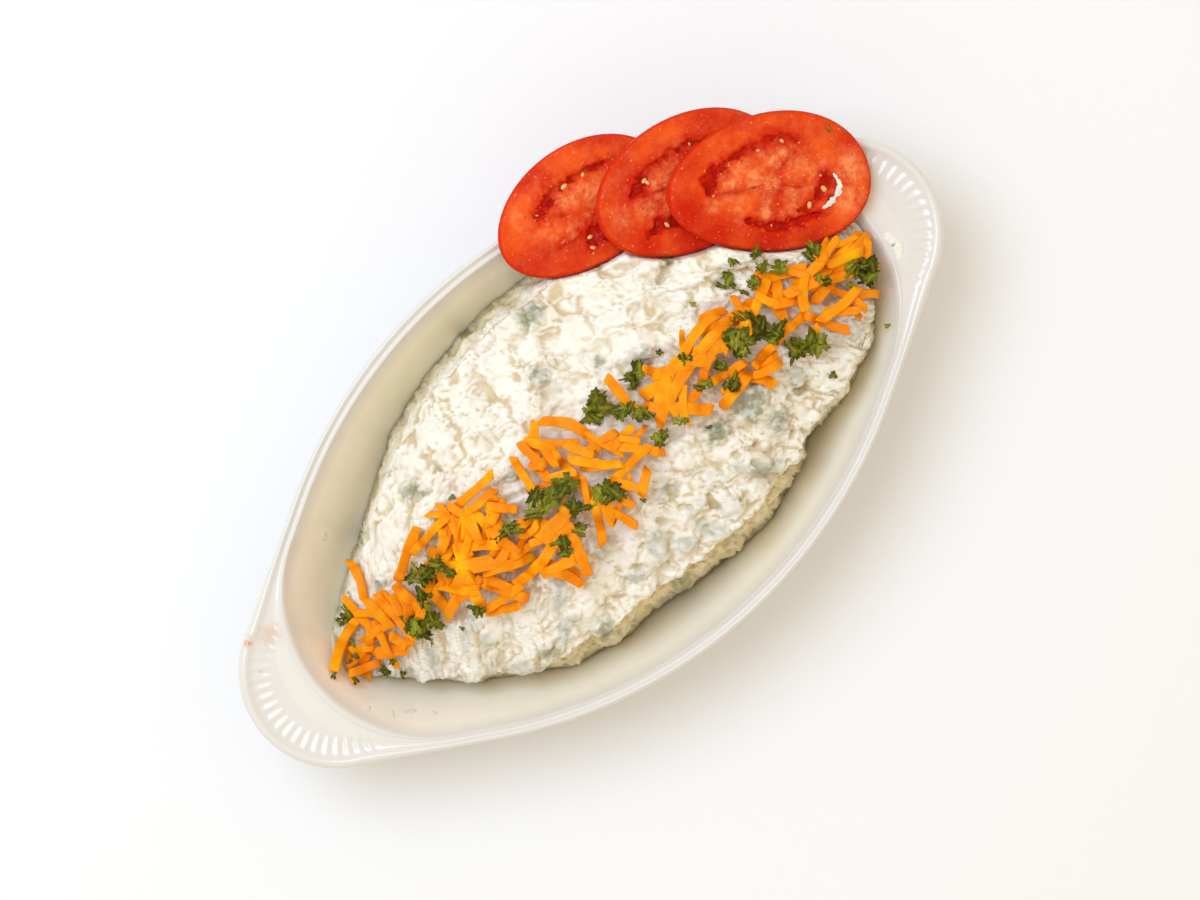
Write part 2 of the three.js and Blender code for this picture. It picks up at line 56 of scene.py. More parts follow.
_, dish_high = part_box("dish")
RIM_HALF_LENGTH, RIM_HALF_WIDTH, RIM_HEIGHT = (side / MM for side in dish_high)
RIM_WIDTH = 4.0
TAB_WIDTH = 21.7
WELL_HALF_LENGTH = RIM_HALF_LENGTH - TAB_WIDTH
WELL_HALF_WIDTH = RIM_HALF_WIDTH - RIM_WIDTH
WELL_END_RADIUS = 41.3
RIM_END_RADIUS = 27.8
FLANK_ANGLE, END_ANGLE = math.radians(30), math.radians(60)
FLANK_SIN, FLANK_COS = math.sin(FLANK_ANGLE), math.cos(FLANK_ANGLE)
END_CENTRE = WELL_HALF_LENGTH - WELL_END_RADIUS
SIDE_RADIUS = (
    END_CENTRE * FLANK_SIN + WELL_END_RADIUS - WELL_HALF_WIDTH * FLANK_COS
) / (1 - FLANK_COS)
SIDE_CENTRE = WELL_HALF_WIDTH - SIDE_RADIUS

# Profiles: distance in from the well's edge and height, and for the rim the distance in from its
# outer edge and the height, on a tab and on a side.
OUTSIDE = [(34, 0), (15.9, 0), (14.7, 0.3), (13.6, 1.4), (6.2, 16), (-0.8, 29.6), (-1.3, 31.2)]
RIM = [
    (1.9, 1.5, 33.2, 32.8), (0.7, 0.6, 33.9, 33.8), (-0.1, -0.1, 35.2, 35.2), (0.1, 0, 36.9, 36.7),
    (1.7, 0.9, 38.0, 37.9), (3.3, 1.8, 36.8, 37.0), (4.8, 2.1, 36.5, 36.8), (6.3, 2.25, 36.4, 36.75),
    (7.8, 2.4, 36.3, 36.75), (9.4, 2.55, 36.2, 36.75), (11.5, 2.7, 36.05, 36.8), (14, 2.9, 36.0, 36.9),
    (17, 3.1, 36.1, 37.0), (19.4, 3.25, 36.4, 37.1), (20.5, 3.4, 37.2, 37.3), (21.6, 3.9, 36.4, 36.6),
]
INSIDE = [
    (0.5, 35.4), (3.2, 30.2), (6.0, 24.6), (8.8, 19.2), (11, 14.8), (13, 11.4), (15.4, 8.7),
    (18, 7.0), (22, 6.1), (38, 5.9),
]
# Rays in a quarter of the dish: round the tab, from there to the flank, and along the side.
TAB_RAYS, FLANK_RAYS, SIDE_RAYS = 84, 22, 40
TAB_RAYS_TO, FLANK_RAYS_FROM = math.radians(36), math.radians(37)
FLUTES = 21
FLUTE_SPREAD = math.radians(78)
FLUTE_DEPTH, FLUTE_RIDGE = 0.34, 0.12
# Where the flutes start and end, in from the tab's outer edge, and over what length they fade.
FLUTES_FROM, FADE_IN, FLUTES_TO, FADE_OUT = 2.9, 1.5, 9.6, 2.5
TAB_FACE, STAINED_FROM = RIM_HEIGHT - 3, 30
# Painted light: from this height down, over this depth, the glaze in the well is painted lighter and warmer.
WELL_LIGHT_TOP, WELL_LIGHT_DEPTH = 37, 6
# The share of the dish's rings that lie outside the well.
OUTER_SHARE = 0.55
# Caps with at least this many corners are flat.
WIDE_CAP = 20
GLAZE_COLOUR = (0.71, 0.695, 0.665, 1)
GLAZE_WARM = (0.69, 0.65, 0.58, 1)
# The lighter, warmer glaze colour painted low in the well as painted bounce light.
PAINTED_WELL_LIGHT = (0.92, 0.88, 0.77, 1)
STAIN_COLOUR = (0.62, 0.27, 0.05, 1)
# Stains on the left tab: place, radius and strength.
STAINS = [
    (-110, 22.2, 1.1, 0.8), (-108.4, 23.4, 0.5, 0.7), (-103.5, 20, 3.2, 0.3), (-112.5, 14, 0.6, 0.3),
]


def blend(a, b, share):
    return a + (b - a) * share


def unit(value):
    return np.clip(value, 0, 1)


def rim_reach(angle):
    """From the middle of the well's end arc, how far off the rim's outer edge is."""
    offset = RIM_HALF_LENGTH - RIM_END_RADIUS - END_CENTRE
    tangent = math.atan2(RIM_END_RADIUS * FLANK_COS, offset + RIM_END_RADIUS * FLANK_SIN)
    if angle > tangent:
        return (WELL_END_RADIUS + RIM_WIDTH) / math.cos(END_ANGLE - angle)
    across = offset * math.sin(angle)
    return offset * math.cos(angle) + math.sqrt(RIM_END_RADIUS**2 - across**2)


def dish_rays():
    """Rays all the way round: start x, y, direction x, y, distance of the well's edge, of the rim."""
    quarter = []
    round_tab = np.linspace(0, TAB_RAYS_TO, TAB_RAYS)
    to_flank = np.linspace(FLANK_RAYS_FROM, END_ANGLE, FLANK_RAYS)
    for angle in [*round_tab, *to_flank]:
        reach = rim_reach(angle)
        quarter.append((END_CENTRE, 0, math.cos(angle), math.sin(angle), WELL_END_RADIUS, reach))
    reach = SIDE_RADIUS + RIM_WIDTH
    for angle in np.linspace(FLANK_ANGLE, 0, SIDE_RAYS):
        quarter.append((0, SIDE_CENTRE, math.sin(angle), math.cos(angle), SIDE_RADIUS, reach))
    quarter = np.array(quarter)
    back = quarter[::-1]
    quarters = [(quarter, 1, 1), (back[1:], -1, 1), (quarter[1:], -1, -1), (back[1:-1], 1, -1)]
    return np.concatenate([rays * (sx, sy, sx, sy, 1, 1) for rays, sx, sy in quarters])


def dish_points():
    rays = dish_rays()
    start, direction, well, rim = rays[:, 0:2], rays[:, 2:4], rays[:, 4], rays[:, 5]
    tab = (rim - well - RIM_WIDTH) / (TAB_WIDTH - RIM_WIDTH)
    rings = []

    def ring(distance, height):
        plan = start + direction * np.broadcast_to(distance, well.shape)[:, None]
        rings.append(np.column_stack([plan, np.broadcast_to(height, well.shape)]))

    for inset, height in OUTSIDE:
        ring(well - inset, height)
    for tab_inset, side_inset, tab_height, side_height in RIM:
        inset = blend(side_inset / RIM_WIDTH, tab_inset / TAB_WIDTH, tab) * (rim - well)
        ring(rim - inset, blend(side_height, tab_height, tab))
    for inset, height in INSIDE:
        ring(well - inset, height)
    rings = np.array(rings)
    # Each turn cuts the profiles' corners a quarter of the way along both sides.
    for _ in range(2):
        cut = [rings[:1]]
        for near, far in zip(rings[:-1], rings[1:]):
            cut.append(np.array([blend(near, far, 0.25), blend(near, far, 0.75)]))
        rings = np.concatenate([*cut, rings[-1:]])
    return flute(rings)


def flute(points):
    """Presses the flutes into the tabs."""
    x, y, z = np.moveaxis(points, -1, 0)
    centre = RIM_HALF_LENGTH - RIM_END_RADIUS
    angle = np.arctan2(y, np.abs(x) - centre)
    off = np.hypot(y, np.abs(x) - centre)
    inset = RIM_END_RADIUS - off * np.cos(np.maximum(0, np.abs(angle) - END_ANGLE))
    pitch = 2 * FLUTE_SPREAD / (FLUTES - 1)
    wave = 0.5 + 0.5 * np.cos(2 * math.pi * angle / pitch)
    band = unit((inset - FLUTES_FROM) / FADE_IN) * unit((FLUTES_TO - inset) / FADE_OUT)
    band = band * unit((FLUTE_SPREAD - np.abs(angle)) / 0.12 + 0.5) * (z > TAB_FACE)
    points[..., 2] = z + (FLUTE_RIDGE - FLUTE_DEPTH * wave**0.8) * band
    return points


def noise(x, y, size, layer):
    """Smooth noise from -1 to 1 in the plane, with humps of about this size."""
    angles = np.random.RandomState(layer).rand(256, 256) * 2 * math.pi
    x, y = np.asarray(x) / size, np.asarray(y) / size
    i, j = np.floor(x).astype(int), np.floor(y).astype(int)
    x, y = x - i, y - j
    sx, sy = x * x * (3 - 2 * x), y * y * (3 - 2 * y)

    def corner(di, dj):
        angle = angles[(i + di) & 255, (j + dj) & 255]
        return np.cos(angle) * (x - di) + np.sin(angle) * (y - dj)

    low = blend(corner(0, 0), corner(1, 0), sx)
    return 1.5 * blend(low, blend(corner(0, 1), corner(1, 1), sx), sy)


def rough(x, y, *waves):
    """Noise of several sizes, each with its height, its size and its layer."""
    return sum(height * noise(x, y, size, layer) for height, size, layer in waves)


def tube_faces(rows, size, first=0):
    """Faces between rings of points, closed round each ring, with a flat cap on both ends."""
    low = np.arange(rows - 1)[:, None] * size + first
    i = np.arange(size)[None, :]
    step = (i + 1) % size
    quads = np.stack([low + i, low + step, low + size + step, low + size + i], -1).reshape(-1, 4)
    last = first + (rows - 1) * size
    caps = [list(range(first + size - 1, first - 1, -1)), list(range(last, last + size))]
    return quads.tolist() + caps


def make_piece(name, slot, bodies, material, **marks):
    """Closed bodies, each made of rings of points, as one mesh that rides on the dish's body.

    A mark has a number for each body, or one for every point of it.
    """
    faces, first = [], 0
    for body in bodies:
        faces += tube_faces(*body.shape[:2], first)
        first += body[..., 0].size
    mesh = bpy.data.meshes.new(name)
    points = np.concatenate([body.reshape(-1, 3) for body in bodies])
    mesh.from_pydata((points * MM).tolist(), [], faces)
    mesh.update()
    for mark, values in marks.items():
        spread = [np.broadcast_to(value, body.shape[:2]).ravel() for value, body in zip(values, bodies)]
        layer = mesh.attributes.new(mark, "FLOAT", "POINT")
        layer.data.foreach_set("value", np.concatenate(spread).astype(np.float32))
    mesh.polygons.foreach_set("use_smooth", [len(face) < WIDE_CAP for face in faces])
    mesh.materials.append(material)
    made = bpy.data.objects.new(name, mesh)
    bpy.context.scene.collection.objects.link(made)
    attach(made, "root")
    return made


class Wired:
    """A socket in a finish. Sums on it add Math nodes."""

    def __init__(self, tree, socket):
        self.tree = tree
        self.socket = socket

    def wire(self, inputs, sockets):
        for name, value in sockets.items():
            if isinstance(value, Wired):
                self.tree.links.new(value.socket, inputs[name])
            else:
                inputs[name].default_value = value

    def node(self, kind, settings, sockets, output=0):
        made = self.tree.nodes.new(kind)
        for setting, value in settings.items():
            setattr(made, setting, value)
        self.wire(made.inputs, sockets)
        return Wired(self.tree, made.outputs[output])

    def sum(self, operation, first, second):
        return self.node("ShaderNodeMath", {"operation": operation}, {0: first, 1: second})

    def __add__(self, other):
        return self.sum("ADD", self, other)

    def __sub__(self, other):
        return self.sum("SUBTRACT", self, other)

    def __rsub__(self, other):
        return self.sum("SUBTRACT", other, self)

    def __mul__(self, other):
        return self.sum("MULTIPLY", self, other)

    __radd__ = __add__
    __rmul__ = __mul__

    def ramp(self, low, high):
        """0 below one value, 1 above the other, smooth between."""
        ends = {"Value": self, "From Min": low, "From Max": high}
        return self.node("ShaderNodeMapRange", {"interpolation_type": "SMOOTHSTEP"}, ends)

    def spots(self, scale, detail=2.0, roughness=0.5):
        """Noise from 0 to 1 over the surface, with this many humps in a metre."""
        sockets = {"Vector": self, "Scale": scale, "Detail": detail, "Roughness": roughness}
        return self.node("ShaderNodeTexNoise", {}, sockets)

    def mark(self, name):
        return self.node("ShaderNodeAttribute", {"attribute_name": name}, {}, "Fac")

    def colour(self, low, high):
        """One colour where this is 0, the other where it is 1. The node's colours have numbers."""
        return self.node("ShaderNodeMix", {"data_type": "RGBA"}, {0: self, 6: low, 7: high}, 2)

    def bump(self, strength, distance):
        sockets = {"Height": self, "Strength": strength, "Distance": distance}
        return self.node("ShaderNodeBump", {}, sockets)

    def feed(self, **sockets):
        """Sets or links the shader's sockets."""
        shader = self.tree.nodes["Principled BSDF"]
        self.wire(shader.inputs, {name.replace("_", " "): value for name, value in sockets.items()})


def new_finish(name):
    """A material, and the place on the surface as a start for its nodes."""
    material = bpy.data.materials.new(name)
    material.use_nodes = True
    tree = material.node_tree
    return material, Wired(tree, tree.nodes.new("ShaderNodeTexCoord").outputs["Object"])


def glaze():
    material, place = new_finish("white_glaze")
    warm = place.spots(22, 3).ramp(0.45, 0.75) * 0.22
    # Painted light: low in the well the glaze colour is lightened and warmed.
    well_lit_glaze = place.mark("pooled").colour(warm.colour(GLAZE_COLOUR, GLAZE_WARM), PAINTED_WELL_LIGHT)
    place.feed(
        Base_Color=place.mark("stain").colour(well_lit_glaze, STAIN_COLOUR),
        Roughness=place.spots(60, 2) * 0.08 + 0.14,
        Coat_Weight=0.3,
        Coat_Roughness=0.08,
        Normal=place.spots(95, 2).bump(0.08, 0.0006),
    )
    return material


dish = dish_points()
x, y, z = np.moveaxis(dish, -1, 0)
stain = np.zeros(z.shape)
for stain_x, stain_y, size, strength in STAINS:
    ragged = np.hypot(x - stain_x, y - stain_y) / size + 0.5 * noise(x, y, 0.9, 3)
    stain = np.maximum(stain, strength * unit(1.4 - ragged) * (z > STAINED_FROM))
in_well = np.arange(len(dish))[:, None] > OUTER_SHARE * len(dish)
# Painted light: a mark for the lighter, warmer glaze low in the well.
pooled = unit((WELL_LIGHT_TOP - z) / WELL_LIGHT_DEPTH) * in_well
dish_piece = make_piece("glazed_dish", "glazed_dish", [dish], glaze(), stain=[stain], pooled=[pooled])
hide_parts("dish")


# ---- The dip ----
# A thick white dip of chopped eggplant in a creamy dressing, spooned into a long mound that
# stands above the rim. Its top is lumpy and smeared, the near side ends in a torn ledge over a
# lower layer, and its far right side is pushed up into a bank by the tomato slices.

MOUND_START, MOUND_END = -95.5, 100.5
FAR_FOOT = [
    (-95.5, 3), (-88, 12.5), (-70, 25), (-40, 42.5), (-14, 50), (14, 51.5), (42, 48), (66, 38),
    (86, 24), (96, 12), (100.5, 4),
]
NEAR_FOOT = [
    (-95.5, -3), (-88, -11.5), (-70, -28), (-40, -45), (-10, -48), (22, -49.5), (40, -44),
    (52, -38), (70, -34.5), (86, -25), (96, -12), (100.5, -5),
]
CROWN_HEIGHT, CROWN_FROM, CROWN_TO = 51, -12, 14
LEFT_DROP, LEFT_FALL = 37, 2.3
RIGHT_DROP, RIGHT_FALL = 16.5, 3.5
BANK = {"middle": (63, 20.5), "direction": (0.777, -0.63), "height": 4, "across": 8, "along": 26}
FAR_SHOULDER, NEAR_SHOULDER, SHOULDER_DROP = 0.88, 0.93, 0.3
# The ledge along the near side: where it runs, and its section from the nose down and out, as
# shares of the way out to the foot and drops in height.
LEDGE_FROM, LEDGE_TO, NOSE = -52, 46, 0.865
LEDGE_SECTION = [(0, 0), (0.014, 0.5), (0.022, 1.5), (0.012, 3), (-0.010, 5), (-0.006, 6.8), (0.02, 7.8)]
MOUND_COLUMNS, TOP_ROWS, CLIFF_ROWS, UNDER_ROWS = 420, 178, 24, 6
# How much closer the sections lie at the ends, and the gaps: over the dish under the mound, which
# is also the one under a slice, and at the mound's foot.
END_CROWDING, UNDER_GAP, FOOT_GAP = 0.45, 0.3, 0.8
# The share of the cliff's rows that the ledge's section takes.
SECTION_SHARE = 0.62
CHUNK, LUMP, CRUMB = 8.2, 4.3, 2.2
CRACK_DROP, GREY_SWELL = 20, 1.7

CREAM = (0.86, 0.835, 0.745, 1)
# Painted shade for creases, holes and the edges of chunks.
CREASE_SHADE = (0.63, 0.51, 0.31, 1)
# The lower layer's own tan, which is also painted on the far slope as painted shadow of the rim.
LOWER_LAYER_AND_RIM_SHADOW = (0.80, 0.65, 0.33, 1)
GREY_FLESH = (0.33, 0.34, 0.26, 1)
OLIVE = (0.20, 0.21, 0.07, 1)
DRIED_ORANGE = (0.75, 0.42, 0.12, 1)
# Eggplant flesh and herbs that show through: place, radius, share of grey, share of olive.
CHUNKS = [
    (3, 26, 3.4, 0.8, 0.1), (-46, 25, 3.4, 0.7, 0.4), (-21, 10, 2.4, 0.7, 0.1), (43, -18, 6, 0.9, 0.15),
    (31, -18.5, 4, 0.7, 0.55), (12, 41, 4.2, 0.75, 0.45), (-68, 26, 2.6, 0.4, 0.7), (-43, 22, 1.8, 0.3, 0.6),
    (-36, 26, 2.2, 0.2, 0.5), (18.5, 18.5, 1.8, 0.4, 0.6), (-30, -41, 3, 0.6, 0.5), (-5, -46, 3.4, 0.6, 0.5),
    (-46, -35.5, 3, 0.4, 0.5), (46, -27, 4.5, 0.6, 0.1), (9, -22, 3.4, 0.6, 0.1), (-71, 11, 2.2, 0.5, 0.4),
    (36, 40.5, 2.5, 0.6, 0.5), (53, 27.5, 3.2, 0.5, 0.5), (28, 11, 3, 0.8, 0.3), (34, -35, 3, 0.6, 0.2),
    (-15, -22, 4, 0.5, 0.05), (-6, 50, 1.8, 0.5, 0.7), (-39, -9, 3, 0.4, 0.1), (56, -24, 2.5, 0.2, 0.4),
]
# Little holes and cracks: the two ends, half width and depth.
CRACKS = [
    (46, 24.2, 58, 28, 0.7, 2.2), (8, 38.5, 12, 43, 0.7, 1.6), (12, 43, 18, 40, 0.5, 1.4),
    (17, -34, 17.5, -34.6, 1.0, 2.0), (33, -32, 33.6, -33, 0.9, 1.8), (56, -25, 59, -25.6, 1.0, 1.6),
    (-60, 33, -52, 36.5, 0.6, 1.2), (39, 36, 45, 33, 0.6, 1.5), (-28, 6, -20, 3.5, 0.7, 1.0),
    (-47, -36, -41, -34.5, 0.5, 1.2), (-38, 31, -34, 30, 0.5, 0.8), (62, 27, 68, 23, 0.6, 1.6),
    (30, -27, 31, -27.6, 0.8, 1.6), (37, -29, 37.6, -29.5, 0.8, 1.6), (10, -29, 11, -30, 0.7, 1.5),
    (2, -27, 3, -29, 0.6, 1.3), (-12, -33, -10, -34, 0.8, 1.5), (-6, -38, -4, -38.6, 0.7, 1.4),
    (-22, -36, -19, -37, 0.7, 1.4), (24, -38, 26, -37.4, 0.8, 1.6), (46, -34, 47.6, -33.4, 0.8, 1.5),
]

FAN = (0.827, -0.562)
SLICE_THICKNESS = 4.2
# The tomato slices that press the dip down, from the lowest: middle, half axes, heading in degrees,
# fall along the fan, lean inwards, and the height and phase of the outline's three bulges.
SLICES = [
    ((43.9, 54.9, 40.6), (26.6, 17.2), -8, 0.05, 0.08, (0.017, 2.1)),
    ((70.8, 40.1, 43.8), (28.1, 18.9), -13, 0.17, 0.1, (0.007, -3.4)),
    ((88.6, 24.8, 44.5), (29.5, 19.5), -32, 0.17, 0.1, (0.035, -3.6)),
]


def smooth_line(points):
    """A smooth line through given points, as a function of x."""
    knots = np.array(points, float)
    padded = np.vstack([2 * knots[0] - knots[1], knots, 2 * knots[-1] - knots[-2]])
    t = np.linspace(0, 1, 12, endpoint=False)[:, None]
    fine = []
    for a, b, c, d in zip(padded, padded[1:], padded[2:], padded[3:]):
        fine.append(0.5 * (2 * b + (c - a) * t + (2 * a - 5 * b + 4 * c - d) * t**2
                           + (3 * b - a - 3 * c + d) * t**3))
    fine = np.vstack([*fine, knots[-1:]])
    return lambda x: np.interp(x, fine[:, 0], fine[:, 1])


far_foot, near_foot = smooth_line(FAR_FOOT), smooth_line(NEAR_FOOT)


def well_inset(x, y):
    """How far in from the well's edge a place in the plan is."""
    x, y = np.abs(x), np.abs(y)
    flank = WELL_END_RADIUS - (x - END_CENTRE) * FLANK_SIN - y * FLANK_COS
    end = WELL_END_RADIUS - np.hypot(x - END_CENTRE, y)
    side = SIDE_RADIUS - np.hypot(x, y - SIDE_CENTRE)
    inset = np.where(x * FLANK_COS < (y - SIDE_CENTRE) * FLANK_SIN, side, flank)
    return np.where((x - END_CENTRE) * FLANK_COS > y * FLANK_SIN, end, inset)


def well_height(x, y):
    inset, height = np.array([(0, 36.6), *INSIDE]).T
    return np.interp(well_inset(x, y), inset, height)


def crown(x):
    left = unit((CROWN_FROM - x) / (CROWN_FROM - MOUND_START)) ** LEFT_FALL
    right = unit((x - CROWN_TO) / (MOUND_END - CROWN_TO)) ** RIGHT_FALL
    return CROWN_HEIGHT - LEFT_DROP * left - RIGHT_DROP * right


def mound_height(x, y, foot):
    """The smooth mound between its shoulders, with the bank beside the slices."""
    right, up = x - BANK["middle"][0], y - BANK["middle"][1]
    ux, uy = BANK["direction"]
    reach, off = (right * ux + up * uy) / BANK["along"], (up * ux - right * uy) / BANK["across"]
    bank = BANK["height"] * np.exp(-reach**2 - off**2)
    shoulder = np.where(y > 0, FAR_SHOULDER, NEAR_SHOULDER)
    slope = (crown(x) - well_height(x, foot)) * SHOULDER_DROP * (y / foot / shoulder) ** 2
    lumps = (
        np.sin(0.31 * x + 0.9) * np.sin(0.27 * y + 0.4)
        + 0.8 * np.sin(0.17 * x - 0.23 * y + 1.3)
        + 0.7 * np.sin(0.53 * x + 0.35 * y) * np.sin(0.47 * y - 0.21 * x + 2)
    )
    return crown(x) - slope + bank + lumps


def mound_points():
    """The mound's sections as rings: over the top from far to near, then back underneath."""
    turn = np.linspace(0, 1, MOUND_COLUMNS)
    crowded = blend(turn, 0.5 - 0.5 * np.cos(math.pi * turn), END_CROWDING)
    x = blend(MOUND_START, MOUND_END, crowded)[:, None]
    far, near = far_foot(x), near_foot(x)
    edge_wave = rough(x, x * 0, (0.8, 9, 11), (0.5, 3.1, 12))
    ends = unit(np.minimum(x - MOUND_START, MOUND_END - x) / 8)
    far, near = far + edge_wave * ends, near - edge_wave[::-1] * ends
    ledge = unit(np.minimum(x - LEDGE_FROM, LEDGE_TO - x) / 12)
    ledge = ledge * ledge * (3 - 2 * ledge)
    drop_share = np.linspace(0, 1, CLIFF_ROWS + 1)[None, 1:]

    def cliff(foot, shoulder):
        share = blend(shoulder, 1, drop_share)
        top = mound_height(x, foot * share, foot)
        return foot * share, blend(top, well_height(x, foot) + FOOT_GAP, drop_share**1.5)

    far_y, far_z = cliff(far, FAR_SHOULDER)
    near_y, near_z = cliff(near, NEAR_SHOULDER)
    section_place = np.linspace(0, SECTION_SHARE, len(LEDGE_SECTION))
    out, drop = np.array(LEDGE_SECTION).T
    share = NOSE + np.interp(drop_share, [*section_place, 1], [*out, 1 - NOSE])
    nose_z = mound_height(x, near * NOSE, near)
    lower_end = nose_z - well_height(x, near) - FOOT_GAP
    fall = np.interp(drop_share, section_place, drop) * np.ones_like(x)
    outer = unit((drop_share - SECTION_SHARE) / (1 - SECTION_SHARE))
    fall = blend(fall, lower_end, outer**2.6)
    near_y = blend(near_y, near * share, ledge)
    near_z = blend(near_z, nose_z - fall, ledge)
    top_share = np.linspace(-1, 1, TOP_ROWS)[None, :]
    far_side = top_share < 0
    limit = np.where(far_side, FAR_SHOULDER, blend(NEAR_SHOULDER, NOSE, ledge))
    top_foot = np.where(far_side, far, near)
    top_y = top_foot * np.abs(top_share) * limit
    top_z = mound_height(x, top_y, top_foot)
    under_y = blend(near, far, np.linspace(0, 1, UNDER_ROWS + 2)[None, 1:-1])
    under_z = well_height(x, under_y) + UNDER_GAP
    y = np.hstack([far_y[:, ::-1], top_y, near_y, under_y])
    z = np.hstack([far_z[:, ::-1], top_z, near_z, under_z])
    return np.stack([x * np.ones_like(y), y, z], -1)


def cells(x, y, size, layer):
    """Scattered cells of about this size: how far from the nearest cell's border, and its number."""
    spots = np.random.RandomState(layer).rand(64, 64, 3)
    x, y = x / size, y / size
    i, j = np.floor(x).astype(int), np.floor(y).astype(int)
    near, second, number = np.full(x.shape, 9.0), np.full(x.shape, 9.0), np.zeros(x.shape)
    for di in (-1, 0, 1):
        for dj in (-1, 0, 1):
            spot = spots[(i + di) & 63, (j + dj) & 63]
            off = np.hypot(x - i - di - spot[..., 0], y - j - dj - spot[..., 1])
            second = np.where(off < near, near, np.minimum(second, off))
            number = np.where(off < near, spot[..., 2], number)
            near = np.minimum(near, off)
    return unit(second - near), number


def mound_relief(x, y, run):
    """Chunks, crumbs and smears over the mound: height, how deep in a crease, and clear chunks."""

    def dome(border):
        return 1 - (1 - np.minimum(1, border * 1.7)) ** 2.4

    wx = x + rough(x, run, (1.8, 7, 21), (0.6, 2.2, 29))
    wy = run + rough(x, run, (1.8, 7, 22), (0.6, 2.2, 30))
    near_side = np.clip(0.5 - y / 26 + 0.6 * noise(x, run, 24, 28), 0.08, 1)
    smoothed = np.clip(0.55 + 1.6 * noise(x, run, 13, 32), 0.05, 1)
    border, clear_number = cells(wx, wy, CHUNK, 23)
    lump_border, number = cells(wx, wy, LUMP, 24)
    lumps, crumbs = smoothed * dome(lump_border), dome(cells(wx, wy, CRUMB, 25)[0])
    chunky = near_side * (0.9 * dome(border) * (0.2 + clear_number) + 0.5 * lumps + 0.4 * crumbs)
    crumbly = (1 - 0.75 * near_side) * (0.75 * lumps * (0.3 + number) + 0.7 * smoothed * crumbs)
    broad = 2 * np.abs(noise(wx, wy, 12, 31))
    smear = noise(wx * 0.35 + wy * 0.94, wy * 0.3 - wx * 0.8, 1.6, 26) * (1.3 - smoothed)
    fine = rough(x, run, (0.26, 1.5, 27), (0.15, 0.8, 33))
    relief = chunky + crumbly + broad + 0.45 * smear + fine
    blurred = relief
    for step in (2, 3, 4):
        for axis in (0, 1):
            blurred = (blurred + np.roll(blurred, step, axis) + np.roll(blurred, -step, axis)) / 3
    crease = unit((blurred - relief) * 2.4 - 0.1)
    clear = near_side * unit((clear_number - 0.55) * 5) * unit((border - 0.15) * 5)
    return relief - 1.9, crease, clear


def from_line(x, y, line):
    """How far places are from a line of straight stretches, and how far along it the nearest is."""
    best, place, run = np.full(x.shape, 1e9), np.zeros(x.shape), 0.0
    for (x0, y0), (x1, y1) in zip(line, line[1:]):
        length = math.hypot(x1 - x0, y1 - y0)
        along = unit(((x - x0) * (x1 - x0) + (y - y0) * (y1 - y0)) / length**2)
        off = np.hypot(x - blend(x0, x1, along), y - blend(y0, y1, along))
        place = np.where(off < best, run + along * length, place)
        best = np.minimum(best, off)
        run += length
    return best, place / run


def cracks(x, y):
    depth = np.zeros_like(x)
    for x0, y0, x1, y1, half, deep in CRACKS:
        off = from_line(x, y, [(x0, y0), (x1, y1)])[0] + 0.5 * noise(x, y, 1.6, 31)
        depth = np.maximum(depth, deep * unit(1.5 - off / half))
    return depth


def chunk_marks(x, y):
    """Marks for grey flesh and green bits, how far each chunk swells up, and its creased edge."""
    grey, olive, swell, outline = (np.zeros_like(x) for _ in range(4))
    torn = rough(x, y, (0.75, 2.3, 33), (0.5, 1, 34))
    for chunk_x, chunk_y, size, grey_share, olive_share in CHUNKS:
        near = 1 - np.hypot(x - chunk_x, (y - chunk_y) * 1.15) / (size * 1.15)
        grey = np.maximum(grey, grey_share * unit((near + torn * 0.7) * 2) * (near > -0.4))
        spotted = unit((near - 0.15 + noise(x, y, 1.5, 35) * 0.9) * 3) * (near > 0)
        olive = np.maximum(olive, olive_share * spotted)
        swell = np.maximum(swell, GREY_SWELL * grey_share * unit(near * 3 + 0.5 * torn) ** 0.6)
        # The outline is painted shade where the chunk's edge meets the dressing.
        edge = np.exp(-(((near + 0.15 * torn + 0.05) / 0.14) ** 2))
        outline = np.maximum(outline, 0.6 * grey_share * edge)
    return grey, olive, swell, outline


def slice_axes(heading, fall, lean):
    """The slice's own x, y and z axes in the dish's frame."""
    def rise(x, y):
        return lean * (FAN[0] * y - FAN[1] * x) - fall * (FAN[0] * x + FAN[1] * y)

    c, s = math.cos(math.radians(heading)), math.sin(math.radians(heading))
    first = np.array([c, s, rise(c, s)])
    up = np.array([-rise(1, 0), -rise(0, 1), 1])
    first, up = first / np.linalg.norm(first), up / np.linalg.norm(up)
    return np.array([first, np.cross(up, first), up])


def press_slices(points):
    """Presses the mound down to the underside of each slice that lies on it."""
    for middle, (long, wide), heading, fall, lean, (height, phase) in SLICES:
        axes = slice_axes(heading, fall, lean)
        u, v, level = np.moveaxis((points - middle) @ axes.T, -1, 0)
        wave = 1 + height * np.cos(3 * np.arctan2(v / wide, u / long) + phase)
        under = unit((1.05 - np.hypot(u / long, v / wide) / wave) / 0.04)
        too_high = np.maximum(0, level + SLICE_THICKNESS / 2 + UNDER_GAP)
        points = points - (under * too_high)[..., None] * axes[2]
    return points


